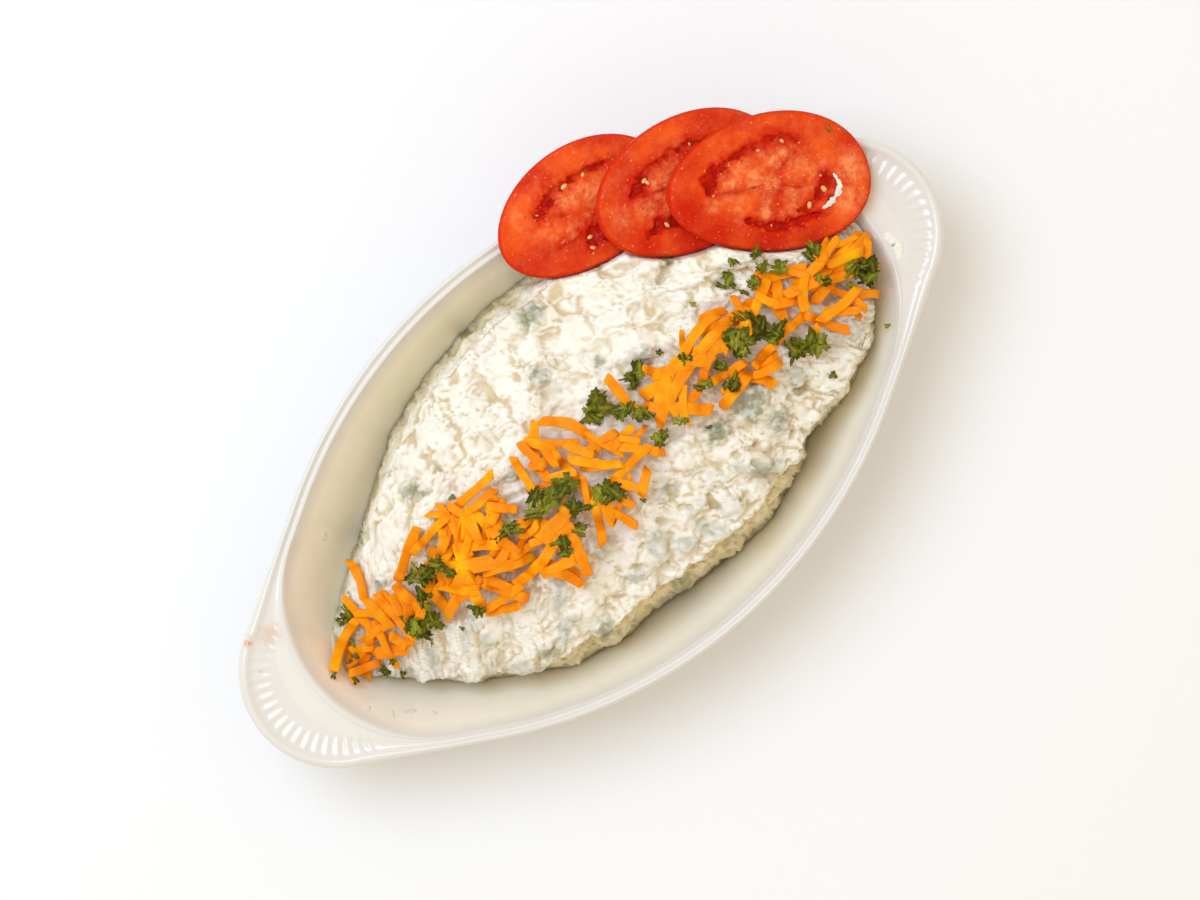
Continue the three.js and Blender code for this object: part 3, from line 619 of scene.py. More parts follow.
def dressing():
    material, place = new_finish("creamy_dressing")
    warm = place.spots(60, 3).ramp(0.35, 0.65)
    # Painted shade: creases, holes and chunk edges are painted darker and tan.
    creased = (place.mark("crease") * (0.6 + 0.5 * warm)).colour(CREAM, CREASE_SHADE)
    # The low mark: the lower layer's own tan, and painted shadow of the rim on the far slope.
    base = (place.mark("low") * 0.92).colour(creased, LOWER_LAYER_AND_RIM_SHADOW)
    cool = place.spots(48, 4).ramp(0.56, 0.76) * 0.3
    stippled = place.mark("grey") * (0.65 + 0.7 * place.spots(420, 3).ramp(0.4, 0.65))
    flesh = (stippled + cool).colour(base, GREY_FLESH)
    specks = place.spots(620, 1).ramp(0.70, 0.76) * place.spots(60, 2).ramp(0.5, 0.65) * 0.45
    dotted = specks.colour(flesh, DRIED_ORANGE)
    place.feed(
        Base_Color=place.mark("olive").colour(dotted, OLIVE),
        Roughness=0.38 + 0.2 * place.spots(180, 3),
        Coat_Weight=place.spots(120, 3).ramp(0.5, 0.8) * 0.3,
        Coat_Roughness=0.12,
        Subsurface_Weight=0.12,
        Subsurface_Radius=(0.003, 0.002, 0.0012),
        Subsurface_Scale=1.0,
        Normal=(place.spots(900, 4, 0.6) * 0.6 + place.spots(2600, 2) * 0.4).bump(0.35, 0.0005),
    )
    return material


mound = mound_points()
across = np.roll(mound, -1, axis=1) - np.roll(mound, 1, axis=1)
normal = np.cross(across, np.gradient(mound, axis=0))
normal /= np.linalg.norm(normal, axis=-1, keepdims=True) + 1e-9
run = np.cumsum(np.linalg.norm(np.diff(mound, axis=1, prepend=mound[:, :1]), axis=-1), axis=1)
x, y, z = np.moveaxis(mound, -1, 0)
relief, crease, clear = mound_relief(x, y, run)
holes = cracks(x, y) * (z > CRACK_DROP)
grey, olive, swell, outline = chunk_marks(x, y)
# The relief fades out at both ends, and the mound's underside has none.
column, row = np.arange(MOUND_COLUMNS)[:, None], np.arange(mound.shape[1])[None, :]
shown = unit(np.minimum(column, MOUND_COLUMNS - 1 - column) / 6)
shown = shown * (row > 0) * (row < mound.shape[1] - UNDER_ROWS - 1)
mound = press_slices(mound + normal * ((relief + swell - holes) * shown)[..., None])
# Painted shade: holes and chunk outlines join the creases, which are all painted darker.
crease = crease + unit(holes) + outline
# The lower layer below the ledge's nose has its own tan colour, with olive and grey bits. The low band of
# the far slope gets the same colour and bits as painted shadow of the rim. Both are painted stronger in
# creases as painted shade.
below_nose = unit((row - CLIFF_ROWS - TOP_ROWS - 8) / 5)
painted_rim_shadow = 0.7 * unit((CLIFF_ROWS - 6 - row) / 10)
low = np.maximum(below_nose, painted_rim_shadow) * unit(0.75 + 0.5 * crease)
bits = rough(mound[..., 0], run, (1, 3.4, 36), (0.6, 1.5, 37))
olive = np.maximum(olive, 0.8 * low * unit(2.6 * bits - 0.6))
grey = np.maximum(grey, 0.5 * low * unit(-2 * bits - 0.4))
mound_piece = make_piece(
    "mound_of_dip", "creamy_dip", [mound], dressing(),
    crease=[unit(crease)], grey=[np.maximum(grey, 0.45 * clear)], olive=[olive], low=[low])
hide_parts("dip")


# ---- The tomato slices ----
# Three slices cut from one plum-shaped tomato, shingled on each other: glossy wet flesh in a thin
# dark skin, a paler core with fibres that fan out of it, and long seed chambers with sunken dark
# jelly and flat seeds. They rest on the rim, and their inner edges are pressed into the dip.

SLICE_RINGS, SLICE_STEPS, BACK_RINGS = 84, 330, 24
RIM_ROUNDING, BELLY = 1.1, [(0.006, 0.7), (0.009, 0), (0.006, -0.7)]
# The hollows in each slice's face, in its own plan: a line of places, half width, depth and how
# dark their jelly is.
HOLLOWS = [
    [
        ([(-12.6, 4.4), (-9.4, 5.3), (-6.5, 6.4)], 1.4, 1.1, 0.9),
        ([(-13.2, 4.7), (-10.3, 6.2), (-6.3, 7.8), (0.4, 7.9), (6, 8.2), (13, 6.8)], 0.8, 1.0, 0.7),
        ([(-13, 4.1), (-9.7, 2.3), (-5.6, 0.4)], 0.4, 0.4, 0.45),
        ([(-12, -6.9), (-6.1, -7.1), (-2.7, -7.4)], 0.5, 0.6, 0.6),
        ([(-4.5, -9.6), (0, -9), (7, -9.6)], 2.5, 1.3, 1.0),
    ],
    [
        ([(-16, 4.2), (-14, 5.7), (-11.3, 7)], 1.6, 1.4, 1.0),
        ([(-14, 7.2), (-10.5, 8.7), (-5.1, 9.3), (0.4, 10), (5.6, 10.2), (9.3, 7.9)], 0.8, 1.0, 0.75),
        ([(-17, 3.4), (-12.4, 2.4), (-6.5, 1.6)], 0.4, 0.5, 0.6),
        ([(-16.4, -7.9), (-13.6, -7), (-9.5, -7.6), (-5, -9)], 1.5, 1.4, 1.0),
    ],
    [
        ([(-19, -0.7), (-18, 2.3), (-16.4, 4.9), (-14, 6.7)], 1.5, 1.5, 1.0),
        ([(-13.8, 7.1), (-10.1, 8.7), (-4.7, 10.6), (1.4, 12.6), (5.3, 12.4), (9, 10.2)], 0.9, 1.0, 0.75),
        ([(-19.1, -1.9), (-15, -1.1), (-8.1, -1), (-3.4, -0.3)], 0.35, 0.5, 0.6),
        ([(-0.6, -0.1), (2.2, 3.2), (5.5, 6.1), (8.9, 9.3)], 0.3, 0.35, 0.45),
        ([(16.2, 1), (18.3, -2.1), (17.6, -5.2), (15, -7.9)], 0.8, 0.9, 0.6),
        ([(15.6, -0.4), (14.8, -3), (12.6, -5)], 1.5, 1.1, 0.95),
        ([(12.6, -10.2), (6.9, -11.7), (2, -12.4), (-3, -12), (-8.3, -10)], 1.1, 1.4, 1.0),
        ([(12, -6.2), (9.5, -8.4), (6, -9)], 0.9, 0.8, 0.7),
        ([(-21.7, -3.8), (-17.7, -7.8), (-11.8, -10.4)], 0.4, 0.4, 0.35),
        ([(0, -1.5), (5, -5), (7, -8.5)], 0.3, 0.35, 0.45),
        ([(1, -0.5), (7, -2.2), (12, -2)], 0.3, 0.4, 0.5),
    ],
]
# Paler flesh in each slice: place, size and strength.
PALE = [
    [(-5, 4.4, 2.6, 0.75), (0, 3.8, 3, 0.6), (-13, -1.5, 4, 0.25), (-18, 7, 4, 0.2), (4, 3, 4, 0.5)],
    [(-8.3, 4.3, 3, 0.75), (-3, 5, 3, 0.6), (-15.3, -0.6, 3, 0.45), (-8, -2, 4, 0.4), (-22, 0, 3, 0.3)],
    [
        (-12, 2, 3.4, 0.9), (-5, 1.2, 3.2, 0.9), (-8, 5.4, 2.5, 0.5), (0.8, 6.3, 2.4, 0.8),
        (3.4, 7.6, 2, 0.7), (-3.2, -8.7, 2.4, 0.8), (-18.3, -4.2, 2.2, 0.6), (22.5, 1, 4.6, 0.7),
        (21, -7, 4.6, 0.65), (-1, 0, 2.6, 0.8), (-10.5, -5.2, 3, 0.4), (7.5, 4, 4, 0.35),
        (5, -4, 2.6, 0.45),
    ],
]
# Seeds that show, in each slice's own plan: place and length.
SEEDS = [
    [
        (-3.1, -8.5, 2.2), (-4, -11.6, 2.4), (-4.8, -13, 1.6), (4.5, 7.3, 2.4), (-1.7, 7.5, 2.8),
        (-12.6, 4.7, 1.2),
    ],
    [
        (-21.2, 5.7, 1.2), (-20.8, 8.4, 0.8), (-24.9, 4.2, 1.1), (-11.2, -7.6, 2.4),
        (-15, -9.9, 1.6), (-11.6, 6.5, 2.3), (-9, 7.2, 1.2), (-11, 5.6, 2.2), (4.7, 9.9, 1.4),
    ],
    [
        (4, 10.9, 3.2), (6.6, 9.3, 3), (-3.5, 9.3, 2.6), (13.8, 0.3, 1.6), (14.5, -3.7, 2.9),
        (9.7, -7.6, 2.6), (-17.6, -1.4, 1.2), (-12.2, 6.5, 1.2), (2.4, 1.4, 1), (-2, -11.9, 1),
        (8.8, 10.2, 1.2),
    ],
]
# Darker red flesh in each slice, partly its own redder flesh and, along the edge pressed into the dip,
# painted shade: place, size and strength.
REDDER_AND_SHADED = [
    [(-19, -8, 7, 0.6), (12, -9, 9, 1), (3, -13, 8, 0.9), (-9, -13, 8, 0.6), (2, -4, 6, 0.4)],
    [(-19, -10, 7, 1), (-6, -14, 9, 1), (3, -5, 7, 0.5), (12, 12, 7, 0.4), (-25, 2, 5, 0.4)],
    [(-25, -5, 8, 1), (-18, -12, 8, 1), (-4, -16, 8, 1), (10, -15, 8, 0.8), (-23, 8, 7, 0.7)],
]
# The core's middle in each slice's plan, and how deep a seed lies and how thick it is.
CORE_X, SEED_SUNK, SEED_THICK = -1, 0.35, 0.5
FLESH = (0.82, 0.082, 0.002, 1)
FLESH_DEEP = (0.56, 0.011, 0.0006, 1)
PALE_FLESH = (0.92, 0.31, 0.11, 1)
SKIN = (0.60, 0.018, 0.001, 1)
JELLY = (0.36, 0.005, 0.0003, 1)
SEED_COLOUR = (0.80, 0.52, 0.20, 1)
SEED_SHADE = (0.66, 0.30, 0.07, 1)


def slice_plan(half, bulge, rings):
    """Rings of places in a slice's plan, from the middle out, and how far in from the skin."""
    share = np.linspace(0.004, 1, rings)[:, None] ** 0.8
    angle = np.linspace(0, 2 * math.pi, SLICE_STEPS, endpoint=False)[None, :]
    out = share * (1 + bulge[0] * np.cos(3 * angle + bulge[1]) * share)
    return half[0] * out * np.cos(angle), half[1] * out * np.sin(angle), (1 - share) * half[1]


def slice_face(x, y, edge, number):
    """A cut face over its plan: height, and marks for skin, jelly, pale flesh, fibres, deep red."""
    ragged = rough(x, y, (1, 2.8, 60 + number), (0.5, 1.2, 70 + number), (0.3, 0.6, 73 + number))
    patchy = np.clip(0.75 + rough(x, y, (0.8, 3.4, 98 + number), (0.5, 1.3, 54 + number)), 0.25, 1)
    sunk, jelly, deep, pale = (np.zeros_like(x) for _ in range(4))
    for line, width, depth, dark in HOLLOWS[number]:
        off, along = from_line(x, y, line)
        narrowed = width * np.sqrt(np.clip(1.15 - (2 * along - 1) ** 2, 0.1, 1))
        inside = unit((narrowed - off - ragged * min(1.2, width)) / (0.8 + 0.6 * width) + 0.6)
        inside = inside * inside * (3 - 2 * inside)
        sunk, jelly = np.maximum(sunk, 0.8 * depth * inside), np.maximum(jelly, dark * inside * patchy)
        beside = np.maximum(0, off - narrowed + 1.2 * ragged) / 2.3
        deep = np.maximum(deep, 1.15 * dark * np.exp(-beside**1.5))
    for pale_x, pale_y, size, strength in PALE[number]:
        off = np.hypot(x - pale_x, y - pale_y) / size
        pale = np.maximum(pale, strength * np.exp(-off**2.6))
    # Painted shade: most of these blotches lie along the edge that is pressed into the dip.
    for deep_x, deep_y, size, strength in REDDER_AND_SHADED[number]:
        off = np.hypot(x - deep_x, y - deep_y) / size
        deep = np.maximum(deep, strength * np.exp(-off**2))
    deep = np.maximum(deep, 0.5 * np.exp(-((edge / 2.4) ** 2)))
    out = np.hypot(x - CORE_X, y)
    turn = np.arctan2(y, x - CORE_X) + 0.5 * noise(x, y, 5, 77 + number)
    fibre = noise(turn * 5, out * 0.3, 1, 80 + number) + 0.6 * noise(turn * 14, out * 0.5, 1, 83 + number)
    within = unit((edge - 6) / 3) * unit(out / 3)
    grain = rough(x, y, (0.16, 3.2, 86 + number), (0.08 + 0.08 * within, 1.2, 89 + number))
    wall = 0.35 * np.exp(-(((edge - 5.5) / 3) ** 2))
    blotch = rough(x, y, (1, 4.5, 92 + number), (0.6, 2, 95 + number))
    pale = np.maximum(pale, 0.55 * unit(blotch + 0.1) * within)
    rounded = (1 - unit(edge / RIM_ROUNDING)) ** 2
    height = grain + wall + 0.1 * fibre * within + 0.3 * pale - sunk - rounded
    skin = unit(1.2 - edge / 0.5) * np.ones_like(x)
    return height, skin, jelly, pale * (1 + 0.3 * fibre), fibre * within, deep


def slice_points(number, half, bulge):
    """A slice in its own axes, and its marks."""
    parts, marks = [], []
    for side, rings in ((-1, BACK_RINGS), (1, SLICE_RINGS)):
        x, y, edge = slice_plan(half, bulge, rings)
        height, *face_marks = slice_face(x, y, edge, number)
        face = np.stack([x, y, side * (SLICE_THICKNESS / 2 + height)], -1)
        parts.append(face[::-side])
        marks.append(np.stack(face_marks)[:, ::-side])
    belly = [parts[0][-1] * (1 + out, 1 + out, level) for out, level in BELLY]
    belly_marks = np.zeros((len(marks[0]), len(BELLY), SLICE_STEPS))
    belly_marks[0] = 1
    points = np.concatenate([parts[0], np.stack(belly), parts[1]])
    points[..., 2] += 0.3 * noise(points[..., 0], points[..., 1], 24, 41 + number)
    return points, np.concatenate([marks[0], belly_marks, marks[1]], axis=1)


def tomato_flesh():
    material, place = new_finish("wet_tomato")
    # The deep mark darkens the flesh. It marks the flesh's own redder colour by the skin and round the
    # jelly, and painted shade along the edge pressed into the dip.
    calm = 1 - place.mark("deep")
    ring_tone = (place.spots(70, 3).ramp(0.3, 0.62) * calm).colour(FLESH_DEEP, FLESH)
    fibre = place.mark("fibre").ramp(-0.5, 0.9)
    pulp = place.spots(380, 4, 0.65).ramp(0.34, 0.66)
    inner = ((0.14 * fibre + 0.14 * pulp) * (0.15 + 0.85 * calm)).colour(ring_tone, PALE_FLESH)
    # Painted highlights: tiny pale specks stand in for wet glints.
    specks = place.spots(1100, 1).ramp(0.70, 0.75) * 0.6
    pale = place.mark("pale") * (0.25 + 0.9 * pulp) * (0.45 + 0.7 * calm)
    core_tone = (pale + specks).colour(inner, PALE_FLESH)
    clots = place.spots(450, 3, 0.6).ramp(0.46, 0.64) * 0.5
    jelly_tone = place.mark("jelly").ramp(0.1, 0.8).colour(core_tone, clots.colour(JELLY, FLESH_DEEP))
    place.feed(
        Base_Color=(place.mark("skin").ramp(0.1, 0.9) * 0.8).colour(jelly_tone, SKIN),
        Roughness=0.42 - 0.12 * place.mark("jelly") + 0.08 * place.spots(200, 2),
        Specular_IOR_Level=0.06,
        Coat_Weight=place.spots(650, 2).ramp(0.62, 0.7) * 0.7,
        Coat_Roughness=0.12,
        Subsurface_Weight=0.06,
        Subsurface_Radius=(0.004, 0.001, 0.0005),
        Subsurface_Scale=1.0,
        Normal=(place.spots(260, 4, 0.6) * 0.7 + place.spots(1300, 2) * 0.3).bump(0.6, 0.0006),
    )
    return material


def seed_finish():
    material, place = new_finish("tomato_seed")
    place.feed(
        Base_Color=place.spots(700, 2).colour(SEED_COLOUR, SEED_SHADE),
        Roughness=0.25 + 0.1 * place.spots(500),
        Coat_Weight=0.5,
        Coat_Roughness=0.1,
        Normal=place.spots(1800, 2).bump(0.2, 0.0003),
    )
    return material


def oval_drop(size, rings=7, steps=14):
    """A small closed oval body."""
    turn = np.linspace(0.06, math.pi - 0.06, rings)[:, None]
    angle = np.linspace(0, 2 * math.pi, steps, endpoint=False)[None, :]
    round_drop = [np.sin(turn) * np.cos(angle), np.sin(turn) * np.sin(angle), -np.cos(turn) + 0 * angle]
    return np.stack(round_drop, -1) * size


flesh_finish, seed_material = tomato_flesh(), seed_finish()
slices = []
for number, (middle, half, heading, fall, lean, bulge) in enumerate(SLICES):
    axes = slice_axes(heading, fall, lean)
    points, (skin, jelly, pale, fibre, deep) = slice_points(number, half, bulge)
    slices.append(np.array(middle) + points @ axes)
    piece = make_piece(
        f"tomato_{number + 1}", "tomato", slices[-1:], flesh_finish,
        skin=[skin], jelly=[jelly], pale=[pale], fibre=[fibre], deep=[deep])
    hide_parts(f"tomato_slice_{number + 1}")
    seeds = []
    for index, (seed_x, seed_y, length) in enumerate(SEEDS[number]):
        lie = np.array([seed_x, seed_y, SLICE_THICKNESS / 2 - SEED_SUNK])
        turn = 2.4 * index + number
        c, s = math.cos(turn), math.sin(turn)
        seed = oval_drop((length * 0.42, length * 0.26, SEED_THICK)) @ [(c, s, 0), (-s, c, 0), (0, 0, 1)]
        seeds.append(np.array(middle) + (lie + seed) @ axes)
    make_piece(f"tomato_{number + 1}_seeds", "tomato", seeds, seed_material)


# ---- The grated carrot ----
# Raw carrot from the coarse side of a grater, strewn along the mound's crown: flat curved shreds,
# moist, with blunt torn ends, lying across each other.

# What the garnish lies on is a map of heights in cells, which rises as shreds and leaves are laid.
PILE_CELL = 0.5
PILE_COLUMNS, PILE_ROWS = 520, 300
PILE_CORNER = np.array([-130.0, -75.0])
HEAP_DEPTH = 5.5
# The heap's top is pressed together from one height up, towards the other.
PRESSED_FROM, HEAP_TOP = 54.2, 57.4
RIM_DROP = 1.4
# Each shred: the two ends in plan, its width if not 2.4, and how far its middle bows to the left.
SHREDS = [
    (-97.5, 0.3, -81.5, 7.5, 3, 1.5), (-82.3, 15, -80, -3.5), (-82, 9, -73, 2, 2.2),
    (-73.5, 22, -78, 10, 2.5, 1), (-73, 9.5, -73, -8, 2.5), (-67, 8, -71, -3, 3, 1.5),
    (-66.5, 6, -66, 0, 3), (-95, -3, -86, -6.5), (-86, -3, -76, -8.5, 3.4), (-60, 2.5, -60, -8, 3),
    (-66, 8, -51, 16, 2.6), (-57.5, 10.9, -24.5, 13.3, 2.4, 0.8), (-43, 10, -27, 9.5, 2.5),
    (-53.5, 4.8, -39, 12, 2.6), (-56, -6, -38, 9, 3, -1), (-39, 9, -40, 0, 2.8), (-35, 3, -27, 6),
    (-35.5, 2, -34, -9, 2.6), (-49, -1.5, -51.5, -13.5, 2.8), (-62.5, -9, -47, -4, 3),
    (-47, -2, -40, -6, 4), (-47, -8, -40, -20, 2.8), (-52, -15, -43, -20), (-45, -6, -31, -12, 2.8),
    (-40, -14.5, -14, -6, 3, -3), (-27.5, -1, -24, -13, 5, 1), (-31, -15, -25, -25, 4),
    (-18, -11, -23, -26, 3), (-13.6, 0, -6, 16.7, 2.8, 3), (-6, 16.7, 2.7, -1.5, 2.8, 3),
    (-13.5, 15.5, -13, 5), (-8, 8, -7.5, -13.5, 2.3), (-7.5, -10, -14.5, -22.5, 2.3),
    (-7.5, -12, -3.5, -24.5, 2.3), (-5, -1, 5, -8.5, 2.3), (7, -4, 16, -13.5), (0, -10, 14, -9),
    (2.5, -18.5, 9.5, -13.5), (5, -3, 14, -2, 2.3), (17, 13.5, 17, 1, 2.6), (19, -6.5, 64, 2.5, 3, 3.5),
    (32.5, 0, 54.5, 6.5, 2.6, 3), (26, 8.5, 32, 0.5), (21, 3, 30, 0.5, 3.4), (26, -6, 34, -13, 3.2),
    (36, -14.5, 48, -12, 3), (50, -11.5, 71, -9.5, 2.5, 0.6), (70.5, -9.5, 78, -21.5, 2.5),
    (38, -7, 50, -9), (67, -3, 72, 4, 3), (68, 6, 80, 0, 3), (73, -2, 87, -1, 2.6),
    (77, -5, 99.5, -2.5, 2.8), (75, -8.5, 101, -4, 3), (99.5, -5, 94, -11, 2.5), (76, -12, 83, -18),
    (80, -14.5, 92.5, -19.5, 2.5, 1.6), (-78, -2, -76.5, -8, 2.6), (-91, 2, -84, -2), (-40.5, 15, -38, 8),
    (-36, 9, -37, 0, 2.6, 1), (-32, 8, -26, 1), (-46, -7, -41, -16, 2.6), (-33, -17, -22, -20, 3),
    (-28, -20, -26, -27, 2.6), (-16, 8, -11, 6), (-9, 11, -10, 3), (-4, 7, 0, -1, 2.6), (-1, -9, 4, -17),
    (47, 8.5, 55, 6), (20, 1, 24, -6, 2.6), (51, -13.5, 58, -13), (66, -2, 72, -5, 2.6), (79, -15, 84, -19),
    (65, -17, 72, -14.5), (-52, 2, -43, -4, 2.8), (-44, 3, -36, -3, 2.8), (-58, 0, -50, -9, 2.6),
    (27, 5, 42, -1, 3), (22, -3, 36, 4, 3, 1), (40, 3, 50, -3, 2.8), (60, 0, 70, 5, 2.6),
    (-6, 3, 1, -6, 2.6), (85, -3, 96, -7, 2.6), (70, -2, 84, -6, 2.8),
]
# Thinner shreds, strewn in heaps: the middle of each heap, its half length and half width, its
# heading in degrees and how many shreds it has.
HEAPS = [
    (-84, 0, 9, 5, 10, 6), (-72, 0, 6, 7, 80, 6), (-52, 2, 10, 8, 40, 12), (-44, -8, 9, 6, -40, 10),
    (-40, 4, 9, 8, 60, 10), (-28, -10, 8, 6, 30, 9), (-10, 4, 6, 8, -60, 6), (-6, -12, 5, 7, 70, 5),
    (6, -5, 7, 5, -30, 5), (26, -2, 8, 6, 20, 3), (40, 0, 12, 5, 15, 4), (54, 3, 8, 4, 10, 4),
    (72, 0, 6, 6, 60, 6), (86, -4, 9, 4, -5, 7), (46, -12, 8, 3, 5, 4), (82, -15, 5, 4, -30, 3),
]
# How far a strewn shred turns from its heap's heading, and its half length, width and bow.
STREWN_TURN, STREWN_REACH, STREWN_WIDTH, STREWN_BOW = 65, (3, 8), (1.4, 3.0), 1.2
SHRED_THICKNESS = 1.3
# A shred's section, all the way round, as shares of its half width and half thickness.
SHRED_SECTION = [
    (1, 0.5), (0.95, 0.86), (0.86, 1), (0.45, 1), (-0.45, 1), (-0.86, 1), (-0.95, 0.86), (-1, 0.5),
]
SHRED_SECTION += [(-across, -up) for across, up in SHRED_SECTION]
CARROT = (0.95, 0.33, 0.0005, 1)
CARROT_LIGHT = (1.0, 0.54, 0.0015, 1)
# Deep orange: the carrot's own darker tone, and painted shade on the shreds laid first and lowest.
CARROT_DEEP_AND_SHADED = (0.76, 0.15, 0.0003, 1)
SEED_FACTOR, SEED_RANGE = 16807, 2147483647


def dish_level(x, y):
    return np.where(well_inset(x, y) > 0.5, well_height(x, y), RIM_HEIGHT - RIM_DROP)


pile_x = PILE_CORNER[0] + PILE_CELL * np.arange(PILE_COLUMNS)[:, None]
pile_y = PILE_CORNER[1] + PILE_CELL * np.arange(PILE_ROWS)[None, :]
pile = dish_level(pile_x, pile_y)


def pile_cells(x, y):
    cell = ((np.stack([x, y], -1) - PILE_CORNER) / PILE_CELL).astype(int)
    return np.clip(cell[..., 0], 1, PILE_COLUMNS - 2), np.clip(cell[..., 1], 1, PILE_ROWS - 2)


def lay(points):
    np.maximum.at(pile, pile_cells(points[..., 0], points[..., 1]), points[..., 2])


def pile_height(x, y):
    i, j = pile_cells(x, y)
    return np.max([pile[i + di, j + dj] for di in (-1, 0, 1) for dj in (-1, 0, 1)], axis=0)


for body in (mound, *slices):
    lay(body)
bare_pile = pile.copy()


def bare_height(x, y):
    """The height of the dish, the dip and the slices without what lies on them."""
    return bare_pile[pile_cells(x, y)]


def settled(bare, rise):
    """A heap sinks together under its own weight, the more the higher it is."""
    return bare + HEAP_DEPTH * (1 - np.exp(-np.maximum(0, rise) / HEAP_DEPTH))


def pressed(bodies):
    """Presses the bodies' highest parts together towards the heap's top."""
    room = HEAP_TOP - PRESSED_FROM
    for body in bodies:
        above = np.maximum(0, body[..., 2] - PRESSED_FROM)
        body[..., 2] += room * (1 - np.exp(-above / room)) - above
    return bodies


seed_number = 20611


def random(low, high):
    """The same random numbers every time."""
    global seed_number
    seed_number = seed_number * SEED_FACTOR % SEED_RANGE
    return low + (high - low) * seed_number / SEED_RANGE


def smoothed_line(heights, reach):
    weights = np.hanning(2 * reach + 3)
    return np.convolve(np.pad(heights, reach + 1, mode="edge"), weights / weights.sum(), mode="valid")


def resting(x, y, ux, uy, width, reach):
    """Heights at which a strip rests: stiff over the bumpy dip, limp over other shreds."""
    sides = (-width / 3, 0, width / 3)
    bare = np.array([bare_height(x - uy * side, y + ux * side) for side in sides])
    piled = np.array([pile_height(x - uy * side, y + ux * side) for side in sides])
    highest = bare.max(axis=0)
    held = [highest[max(0, i - reach):i + reach + 1].max() for i in range(len(highest))]
    rise = smoothed_line(piled.mean(axis=0), reach) - smoothed_line(bare.mean(axis=0), reach)
    return settled(smoothed_line(held, reach), rise)


def shred(x0, y0, x1, y1, width=2.4, bow=0):
    """One shred, laid on the pile: rings of a flat section along a curved line."""
    length = math.hypot(x1 - x0, y1 - y0)
    ux, uy = (x1 - x0) / length, (y1 - y0) / length
    share = np.linspace(0, 1, max(12, round(length * 1.3)))
    share = blend(share, 0.5 - 0.5 * np.cos(math.pi * share), 0.5)
    side = bow * 4 * share * (1 - share) + 0.3 * noise(share * length, share * 0 + x0, 6, 51)
    x = blend(x0, x1, share) - uy * side
    y = blend(y0, y1, share) + ux * side
    held = resting(x, y, ux, uy, width, max(1, round(1.6 / length * len(share))))
    from_end = np.minimum(share, 1 - share) * length
    worn = 1 + 0.16 * noise(share * length, share * 0 + y0, 3, 52)
    half = width * 0.54 * unit(0.66 + 0.5 * from_end) * worn
    flat = min(SHRED_THICKNESS, 0.6 * width)
    thick = flat / 2 * unit(0.6 + 0.6 * from_end)
    twist = random(-0.3, 0.3) + random(-0.4, 0.4) * share
    slant = np.where(share < 0.5, random(-0.8, 0.8), random(-0.8, 0.8)) * unit(1 - from_end / 1.2)
    out = half[:, None] * np.array(SHRED_SECTION)[None, :, 0]
    up = thick[:, None] * np.array(SHRED_SECTION)[None, :, 1]
    c, s = np.cos(twist)[:, None], np.sin(twist)[:, None]
    across, rise = out * c - up * s, out * s + up * c
    forward = slant[:, None] * across
    px = x[:, None] - uy * across + ux * forward
    py = y[:, None] + ux * across + uy * forward
    points = np.stack([px, py, (held + flat * 0.35)[:, None] + rise], -1)
    points[..., 2] += 0.06 * noise(px * 1.1 + points[..., 2], py, 0.8, 53)
    lay(points)
    return points, random(0, 1)


def carrot_finish():
    material, place = new_finish("raw_carrot")
    tone = place.mark("tone")
    fibre = place.spots(260, 3, 0.6).ramp(0.35, 0.7)
    # Painted shade: tone runs from the deep orange, which the lowest shreds get as painted shade, to the
    # full colour.
    light = (0.15 + 0.75 * tone + 0.3 * fibre).colour(CARROT_DEEP_AND_SHADED, CARROT)
    # The lighter patches also grow with tone, so shreds laid later and higher get more of them.
    edge = place.spots(90, 2).ramp(0.5, 0.75) * (0.3 + 0.6 * tone)
    place.feed(
        Base_Color=edge.colour(light, CARROT_LIGHT),
        Roughness=0.5 + 0.15 * place.spots(300, 2),
        Specular_IOR_Level=0.15,
        Subsurface_Weight=0.12,
        Subsurface_Radius=(0.003, 0.0012, 0.0004),
        Subsurface_Scale=1.0,
        Normal=(place.spots(800, 3) * 0.7 + place.spots(2400, 2) * 0.3).bump(0.3, 0.0004),
    )
    return material


strewn = []
for heap_x, heap_y, half_length, half_width, heading, count in HEAPS:
    for _ in range(count):
        off, side = half_length * random(-1, 1), half_width * random(-1, 1)
        c, s = math.cos(math.radians(heading)), math.sin(math.radians(heading))
        x, y = heap_x + c * off - s * side, heap_y + s * off + c * side
        turn = math.radians(heading + random(-STREWN_TURN, STREWN_TURN))
        reach = random(*STREWN_REACH)
        ux, uy = reach * math.cos(turn), reach * math.sin(turn)
        width, bow = random(*STREWN_WIDTH), random(-STREWN_BOW, STREWN_BOW)
        strewn.append((x - ux, y - uy, x + ux, y + uy, width, bow))
laid = [*strewn[::2], *SHREDS, *strewn[1::2]]
shreds, tones = [], []
for order, row in enumerate(laid):
    points, tone = shred(*row)
    shreds.append(points)
    # Painted shade: each shred's random tone is blended with its place in the laying order, so shreds laid
    # lower are darker.
    tones.append(blend(tone, order / len(laid), 0.45))
carrot_piece = make_piece(
    "grated_carrot", "carrot_and_parsley", pressed(shreds), carrot_finish(), tone=tones)
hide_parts("garnish")


# ---- The chopped parsley ----
# Curly and flat leaf parsley, chopped and strewn over the carrot: torn leaflets with toothed
# edges, folded and curled, dark green with a paler rib on top.

